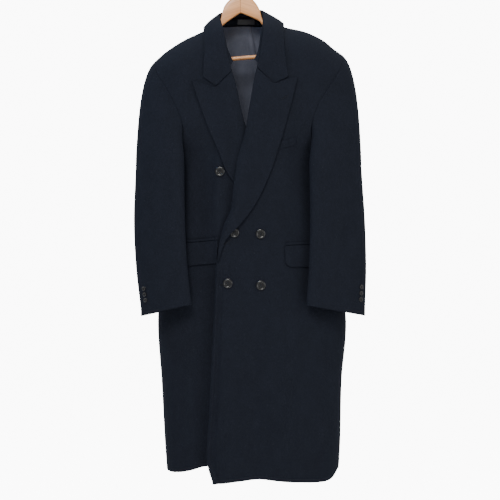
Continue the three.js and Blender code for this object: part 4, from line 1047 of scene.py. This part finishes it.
def button_mesh(size, spin):
    """A turned four-hole button on its shank: rings of points from the middle out and back under."""
    edge, shank, shank_edge = size["radius"], size["shank"], size["shank_radius"]
    top = shank + size["thick"]
    crown = 0.75 * size["dish"]
    half = size["rim"] * 0.85
    dished = edge - 2 * half
    face = np.linspace(MIDDLE_RADIUS, dished, FACE_RINGS)
    rings = [(r, top - size["dish"] * (1 - 0.25 * (r / dished) ** 2)) for r in face]
    rings += [(edge - half * (1 - k), top - crown * k * k) for k in np.linspace(-0.8, 0.92, 11)]
    rings += [(edge, top - crown - 0.3), (edge - 0.1, shank + 0.9), (edge - 0.5, shank + 0.35)]
    rings += [(edge - 1.4, shank), (shank_edge + 0.4, shank)]
    rings += [(shank_edge * 0.8, shank * 0.75), (shank_edge * 0.92, shank * 0.45)]
    rings += [(shank_edge, 0), (MIDDLE_RADIUS, 0)]
    turn = np.radians(spin) + np.linspace(0, 2 * math.pi, AROUND, endpoint=False)
    radius = np.array([r for r, _ in rings])[:, None]
    height = np.array([h for _, h in rings])[:, None] + 0 * turn[None, :]
    x, y = radius * np.cos(turn), radius * np.sin(turn)
    for k in range(4):
        hole = np.radians(spin + 45 + 90 * k)
        away = np.hypot(x - size["spread"] * math.cos(hole), y - size["spread"] * math.sin(hole))
        sunk = HOLE_DEPTH * (1 - ease(size["hole"] * 0.8, size["hole"] * 1.12, away))
        height = height - np.where(np.arange(len(rings))[:, None] < FACE_RINGS, sunk, 0)
    points = np.stack((x, y, height), axis=-1).reshape(-1, 3)
    number = np.arange(len(points)).reshape(len(rings), AROUND)
    after = np.roll(number, -1, axis=1)
    faces = np.stack((number[:-1], number[1:], after[1:], after[:-1]), axis=-1).reshape(-1, 4).tolist()
    faces.append(number[0].tolist())
    faces.append(number[-1, ::-1].tolist())
    return points, faces


def ring_faces(rings, sides):
    """Faces of a closed form made of rings of points, with a cap at each end."""
    number = np.arange(rings * sides).reshape(rings, sides)
    after = np.roll(number, -1, axis=1)
    faces = np.stack((number[:-1], after[:-1], after[1:], number[1:]), axis=-1).reshape(-1, 4).tolist()
    return faces + [number[0, ::-1].tolist(), number[-1].tolist()]


def tube(path, radius, sides=8):
    """A closed tube along a path of points, rounded off at both ends."""
    path = np.asarray(path, float)
    along = np.gradient(path, axis=0)
    along /= np.maximum(np.linalg.norm(along, axis=1, keepdims=True), 1e-9)
    up = np.tile(np.array((0.13, 0.31, 0.94)), (len(path), 1))
    one = np.cross(along, up)
    one /= np.linalg.norm(one, axis=1, keepdims=True)
    two = np.cross(along, one)
    turn = np.linspace(0, 2 * math.pi, sides, endpoint=False)
    ring = (one[:, None] * np.cos(turn)[None, :, None] + two[:, None] * np.sin(turn)[None, :, None])
    size = np.full(len(path), float(radius))
    size[0] = size[-1] = radius * 0.45
    points = (path[:, None] + ring * size[:, None, None]).reshape(-1, 3)
    return points, ring_faces(len(path), sides)


def gathered(parts):
    """Several closed meshes as one list of points and faces."""
    points, faces, start = [], [], 0
    for some_points, some_faces in parts:
        points.append(np.asarray(some_points))
        faces += [[v + start for v in face] for face in some_faces]
        start += len(some_points)
    return np.vstack(points), faces


def thread_mesh(size, spin):
    """Two rows of three strands between the holes, as a tailor sews them."""
    parts = []
    floor = size["shank"] + size["thick"] - size["dish"]
    radius = size["hole"] * 0.30
    for row in (-1, 1):
        for strand in (-1, 0, 1):
            start, stop = (np.array((size["spread"] * 0.7071 * sign, size["spread"] * 0.7071 * row
                                     + strand * radius * 1.7)) for sign in (-1, 1))
            t = np.linspace(0, 1, 12)[:, None]
            flat = mix(start[None], stop[None], t)
            rise = floor - 0.9 + (1.15 + 0.12 * strand) * np.sin(math.pi * t) ** 0.45
            turn = np.radians(spin)
            x = flat[:, 0] * math.cos(turn) - flat[:, 1] * math.sin(turn)
            y = flat[:, 0] * math.sin(turn) + flat[:, 1] * math.cos(turn)
            parts.append(tube(np.stack((x, y, rise[:, 0]), axis=-1), radius))
    return gathered(parts)


def set_on(points, place, normal):
    """Points modelled round +Z, set on a place with its +Z along a normal."""
    turn = Vector((0, 0, 1)).rotation_difference(Vector(tuple(normal))).to_matrix()
    return np.asarray(points) @ np.array(turn).T + np.asarray(place)


def button_places():
    for name, (x, z, spin) in FRONT_BUTTONS.items():
        arm = "left" if name == "button_underlap" else "right"
        out = OUT[arm](x, z) + (0.5 if name == "button_underlap" else 0)
        reach = FRONT_BUTTON["radius"]
        point = coat(x, z, FRONT, out)
        across = coat(x + reach, z, FRONT, out) - coat(x - reach, z, FRONT, out)
        down = coat(x, z - reach, FRONT, out) - coat(x, z + reach, FRONT, out)
        normal = np.cross(down, across)
        yield name, FRONT_BUTTON, point, normal / np.linalg.norm(normal), spin
    for wearer, (arm, angle, heights) in CUFF_ROWS.items():
        for k, z in enumerate(heights):
            at = np.array([angle, angle - 12, angle + 12, angle, angle], float)
            level = np.array([z, z, z, z - 10, z + 10], float)
            point, low, high, below, above = sleeve_point(arm, at, level)
            normal = np.cross(high - low, below - above)
            normal /= np.linalg.norm(normal)
            if normal[1] > 0:
                normal = -normal
            yield "cuff_button_%s_%d" % (wearer, k + 1), CUFF_BUTTON, point, normal, 11 + 23 * k


def build_buttons():
    for name, size, point, normal, spin in button_places():
        points, faces = button_mesh(size, spin)
        place = point + normal * size["clear"]
        finished(mesh_object("horn_" + name, set_on(points, place, normal), faces, horn()), name, "buttons")
        points, faces = thread_mesh(size, spin)
        sewn = mesh_object("thread_" + name, set_on(points, place, normal), faces, thread())
        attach(sewn, "root")


def surface(name):
    mesh = bpy.data.objects[name].data
    return BVHTree.FromPolygons([v.co[:] for v in mesh.vertices], [p.vertices[:] for p in mesh.polygons])


def on_surface(tree, x, z):
    """The point and normal of a piece's front face, at x and z in millimetres."""
    place, normal, _, _ = tree.ray_cast(Vector((x * MM, -0.6, z * MM)), Vector((0, 1, 0)))
    return np.array(place) / MM, np.array(normal)


BUTTONHOLES = {
    "lapel_hole_left": ("cloth_lapel_left", (118.8, -391), (136.8, -379.6)),
    "front_hole_upper": ("cloth_front_left", (-32, -770), (-12, -756)),
    "front_hole_lower": ("cloth_front_left", (-41, -874), (-15, -871)),
}


def build_buttonholes():
    """Worked buttonholes: short stitches side by side, all round a closed slit."""
    for name, (host, start, stop) in BUTTONHOLES.items():
        tree = surface(host)
        start, stop = np.array(start, float), np.array(stop, float)
        length = np.linalg.norm(stop - start)
        along = (stop - start) / length
        beside = np.array((-along[1], along[0]))
        parts = []
        count = int(length / 0.62)
        for k in range(count + 1):
            for sign in (-1, 1):
                near = start + along * (length * k / count) + beside * sign * 0.22
                far = near + beside * sign * 1.5
                path = []
                for share, rise in ((0, 0.05), (0.12, 0.42), (0.5, 0.5), (0.88, 0.4), (1, 0.02)):
                    flat = mix(near, far, share)
                    point, normal = on_surface(tree, *flat)
                    path.append(point + normal * rise)
                parts.append(tube(path, 0.27, 6))
        points, faces = gathered(parts)
        obj = mesh_object("thread_" + name, points, faces, thread())
        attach(obj, "root")


# Hanger: sections of the carved arms, as x, top, bottom, thickness and y
ARM_SECTIONS = (
    (-204, -283, -296, 16, -4), (-190, -255, -294, 26, -3), (-142, -223, -259, 26, -2),
    (-88, -197.5, -225, 20, 0), (-66, -193, -212, 17, 0), (-52, -184, -200, 15, 0),
    (-44, -164, -190, 14, 0), (-39, -144, -181, 14, 0), (-33, -125, -174, 14, 0),
    (-16, -105, -161, 14, 0), (0, -92, -150, 14, 0), (11, -88, -144, 14, 0), (24, -91, -148, 14, 0),
    (43, -106, -156, 14, 0), (57, -123, -163, 14, 0), (64, -139, -168, 14, 0), (69, -157, -175, 14, 0),
    (78, -174, -188, 15, 0), (94, -184, -201, 17, 0), (126, -187.5, -208, 20, 0),
    (188, -202, -236, 26, -2), (238, -228.5, -260, 26, -3), (254, -243, -259, 16, -4),
)
ARM_SIDES = 40
ARM_SQUARENESS = 0.6
ARM_END = 0.82
BAR = ((-192.4, -283), (240.4, -246), 5.5)
BAR_Y = -2
HOOK_WIRE = 1.9
HOOK_RADIUS = 21


def build_hanger():
    sections = np.array(ARM_SECTIONS, float)
    x = np.concatenate((np.linspace(-204, -195, 8), np.linspace(-193, 9.5, 130), (10.3, 10.7, 11, 11.3, 11.7),
                        np.linspace(12.5, 249, 150), np.linspace(250, 254, 6)))
    table = {name: list(sections[:, k]) for k, name in enumerate(("x", "top", "bottom", "thick", "y"))}
    top, bottom, thick, y = (read(table, "x", x, name) for name in ("top", "bottom", "thick", "y"))
    groove = 0.7 * np.exp(-((x - MITRE) / 0.35) ** 2)
    turn = np.linspace(0, 2 * math.pi, ARM_SIDES, endpoint=False)
    ny = np.sign(np.cos(turn)) * np.abs(np.cos(turn)) ** ARM_SQUARENESS
    nz = np.sign(np.sin(turn)) * np.abs(np.sin(turn)) ** ARM_SQUARENESS
    points = np.stack((np.repeat(x[:, None], ARM_SIDES, 1), y[:, None] + (thick / 2 - groove)[:, None] * ny,
                       ((top + bottom) / 2)[:, None] + ((top - bottom) / 2 - groove)[:, None] * nz), axis=-1)
    for end in (0, -1):
        middle = points[end].mean(axis=0)
        points[end] = middle + (points[end] - middle) * ARM_END
    faces = ring_faces(len(x), ARM_SIDES)
    arms = mesh_object("wood_hanger_arms", points.reshape(-1, 3), faces, wood())
    finished(arms, "hanger_arms", "hanger_wood")
    (ax, az), (bx, bz), radius = BAR
    start, stop = np.array((ax, BAR_Y, az)), np.array((bx, BAR_Y, bz))
    path = [mix(start, stop, share) for share in np.linspace(0, 1, 60)]
    points, faces = tube(path, radius, 40)
    finished(mesh_object("wood_trouser_bar", points, faces, wood()), "trouser_bar", "hanger_wood")


def build_hook():
    middle = HOOK_RADIUS + HOOK_WIRE
    path = [(11, -87.4), (9, -74), (7.4, -62), (10, -51), (16, -41)]
    for turn in range(-20, 206, 15):
        angle = math.radians(turn)
        path.append((middle * math.cos(angle), middle * math.sin(angle) - HOOK_RADIUS))
    flat = curve(path, np.linspace(0, 1, 150))
    along = np.stack((flat[:, 0], 0 * flat[:, 0], flat[:, 1]), axis=-1)
    points, faces = tube(along, HOOK_WIRE, 24)
    finished(mesh_object("steel_hook", points, faces, steel()), "hook", "hook_wire")


# Stage, in metres
FLOOR_Z = -1.62
SWEEP_FRONT = -6.5
SWEEP_BACK = 3.8
SWEEP_BEND = 1.2
SWEEP_SIDE = 9
SWEEP_TOP = 4.5
PAPER_GLOW = 9.0
WORLD_STRENGTH = 0.75
SENSOR = 36
LENS = 80
CAMERA_PLACE = (0.0365, -3.0, -0.783)
# Lights: name, place, aim, size, watts and colour
LIGHTS = (
    ("Key", (-0.5, -3.0, 1.5), (0.0, 0.0, -0.7), (1.2, 1.2), 110, (1.0, 0.99, 0.97)),
    ("Fill", (2.4, -2.8, -0.3), (0.0, 0.0, -0.8), (1.8, 1.8), 45, (0.97, 0.98, 1.0)),
    ("Window", (-1.4, -0.5, 0.9), (-0.12, 0.0, -0.3), (0.6, 0.6), 12, (0.25, 0.55, 1.0)),
    ("Backdrop", (0.0, 0.6, 2.2), (0.0, 2.4, -0.8), (3.0, 1.4), 80, (1.0, 1.0, 1.0)),
)


def build_sweep():
    """A seamless pale sweep that glows only to the camera."""
    profile = [(SWEEP_FRONT, FLOOR_Z), (SWEEP_BACK, FLOOR_Z)]
    for turn in range(0, 91, 6):
        angle = math.radians(turn)
        profile.append((SWEEP_BACK + SWEEP_BEND * math.sin(angle),
                        FLOOR_Z + SWEEP_BEND - SWEEP_BEND * math.cos(angle)))
    profile.append((SWEEP_BACK + SWEEP_BEND, SWEEP_TOP))
    points = [(x, y, z) for y, z in profile for x in (-SWEEP_SIDE, SWEEP_SIDE)]
    faces = [(2 * i, 2 * i + 1, 2 * i + 3, 2 * i + 2) for i in range(len(profile) - 1)]
    mesh = bpy.data.meshes.new("sweep")
    mesh.from_pydata(points, [], faces)
    mesh.polygons.foreach_set("use_smooth", [True] * len(mesh.polygons))
    paper = bpy.data.materials.new("Pale paper")
    paper.use_nodes = True
    shader = paper.node_tree.nodes["Principled BSDF"]
    seen = paper.node_tree.nodes.new("ShaderNodeLightPath")
    glow = math_node(paper.node_tree, "MULTIPLY", seen.outputs["Is Camera Ray"], PAPER_GLOW)
    paper.node_tree.links.new(glow, shader.inputs["Emission Strength"])
    shader.inputs["Emission Color"].default_value = (1, 1, 1, 1)
    shader.inputs["Base Color"].default_value = (0.93, 0.93, 0.93, 1)
    shader.inputs["Roughness"].default_value = 0.95
    shader.inputs["Specular IOR Level"].default_value = 0.1
    mesh.materials.append(paper)
    sweep = bpy.data.objects.new("sweep", mesh)
    bpy.context.scene.collection.objects.link(sweep)


def build_lights():
    for name, place, aim, size, power, color in LIGHTS:
        data = bpy.data.lights.new(name, "AREA")
        data.shape = "RECTANGLE"
        data.size, data.size_y = size
        data.energy = power
        data.color = color
        light = bpy.data.objects.new(name, data)
        light.location = place
        light.rotation_euler = (Vector(aim) - Vector(place)).to_track_quat("-Z", "Y").to_euler()
        bpy.context.scene.collection.objects.link(light)
    world = bpy.data.worlds.new("Studio")
    world.use_nodes = True
    back = world.node_tree.nodes["Background"]
    back.inputs["Color"].default_value = (1, 1, 1, 1)
    back.inputs["Strength"].default_value = WORLD_STRENGTH
    bpy.context.scene.world = world


def build_camera():
    """The camera, level with the coat's middle."""
    data = bpy.data.cameras.new("Camera")
    data.sensor_width = SENSOR
    data.lens = LENS
    camera = bpy.data.objects.new("Camera", data)
    camera.location = CAMERA_PLACE
    camera.rotation_euler = (math.radians(90), 0, 0)
    bpy.context.scene.collection.objects.link(camera)
    bpy.context.scene.camera = camera


def build_stage():
    build_sweep()
    build_lights()
    build_camera()


# Operators: one for each group of pieces, and one for the stage

class OvercoatSettings(bpy.types.PropertyGroup):
    roll_depth: bpy.props.FloatProperty(
        name="Lapel roll", description="How far the lapels swell along their roll lines, in metres",
        default=0.0012, min=0.0, max=0.006, unit="LENGTH", subtype="DISTANCE")
    sheen: bpy.props.FloatProperty(
        name="Sheen", description="How much pale sheen the brushed wool has",
        default=0.012, min=0.0, max=1.0, subtype="FACTOR")


class OVERCOAT_OT_body(bpy.types.Operator):
    """Build the two fronts and the two backs"""
    bl_idname = "overcoat.body"
    bl_label = "Fronts and backs"

    def execute(self, context):
        build_panels()
        return {"FINISHED"}


class OVERCOAT_OT_sleeves(bpy.types.Operator):
    """Build both two-piece sleeves"""
    bl_idname = "overcoat.sleeves"
    bl_label = "Sleeves"

    def execute(self, context):
        build_sleeves()
        return {"FINISHED"}


class OVERCOAT_OT_lapels(bpy.types.Operator):
    """Build the two peak lapels"""
    bl_idname = "overcoat.lapels"
    bl_label = "Lapels"

    def execute(self, context):
        build_lapels()
        return {"FINISHED"}


class OVERCOAT_OT_collar(bpy.types.Operator):
    """Build the collar's fall and stand"""
    bl_idname = "overcoat.collar"
    bl_label = "Collar"

    def execute(self, context):
        build_collar()
        return {"FINISHED"}


class OVERCOAT_OT_trims(bpy.types.Operator):
    """Build the pocket flaps, their jets and the breast welt"""
    bl_idname = "overcoat.trims"
    bl_label = "Pockets"

    def execute(self, context):
        build_trims()
        return {"FINISHED"}


class OVERCOAT_OT_lining(bpy.types.Operator):
    """Build the back lining, the neck facing and its blank label"""
    bl_idname = "overcoat.lining"
    bl_label = "Lining and label"

    def execute(self, context):
        build_lining()
        return {"FINISHED"}


class OVERCOAT_OT_buttons(bpy.types.Operator):
    """Build the front and cuff buttons with their threads"""
    bl_idname = "overcoat.buttons"
    bl_label = "Buttons"

    def execute(self, context):
        build_buttons()
        return {"FINISHED"}


class OVERCOAT_OT_buttonholes(bpy.types.Operator):
    """Work the buttonholes in the lapel and the overlapping front"""
    bl_idname = "overcoat.buttonholes"
    bl_label = "Buttonholes"

    def execute(self, context):
        if "cloth_lapel_left" not in bpy.data.objects or "cloth_front_left" not in bpy.data.objects:
            raise RuntimeError("the fronts and lapels come first")
        build_buttonholes()
        return {"FINISHED"}


class OVERCOAT_OT_hanger(bpy.types.Operator):
    """Build the wooden hanger, its trouser bar and its hook"""
    bl_idname = "overcoat.hanger"
    bl_label = "Hanger"

    def execute(self, context):
        build_hanger()
        build_hook()
        return {"FINISHED"}


class OVERCOAT_OT_stage(bpy.types.Operator):
    """Set the backdrop, lights and camera"""
    bl_idname = "overcoat.stage"
    bl_label = "Stage"

    def execute(self, context):
        build_stage()
        return {"FINISHED"}


STEPS = (
    OVERCOAT_OT_body, OVERCOAT_OT_sleeves, OVERCOAT_OT_lapels, OVERCOAT_OT_collar, OVERCOAT_OT_trims,
    OVERCOAT_OT_lining, OVERCOAT_OT_buttons, OVERCOAT_OT_buttonholes, OVERCOAT_OT_hanger,
    OVERCOAT_OT_stage,
)


class OVERCOAT_PT_panel(bpy.types.Panel):
    """Lists the coat's steps in the sidebar"""
    bl_label = "Overcoat"
    bl_idname = "OVERCOAT_PT_panel"
    bl_space_type = "VIEW_3D"
    bl_region_type = "UI"
    bl_category = "Overcoat"

    def draw(self, context):
        settings = context.scene.overcoat
        self.layout.prop(settings, "roll_depth")
        self.layout.prop(settings, "sheen")
        for step in STEPS:
            self.layout.operator(step.bl_idname)


CLASSES = (OvercoatSettings,) + STEPS + (OVERCOAT_PT_panel,)


def register():
    for item in CLASSES:
        bpy.utils.register_class(item)
    bpy.types.Scene.overcoat = bpy.props.PointerProperty(type=OvercoatSettings)


def unregister():
    del bpy.types.Scene.overcoat
    for item in reversed(CLASSES):
        bpy.utils.unregister_class(item)


def main():
    register()
    for step in STEPS:
        name = step.bl_idname.split(".")[1]
        if getattr(bpy.ops.overcoat, name)() != {"FINISHED"}:
            raise RuntimeError(name + " did not finish")


if __name__ == "__main__":
    main()
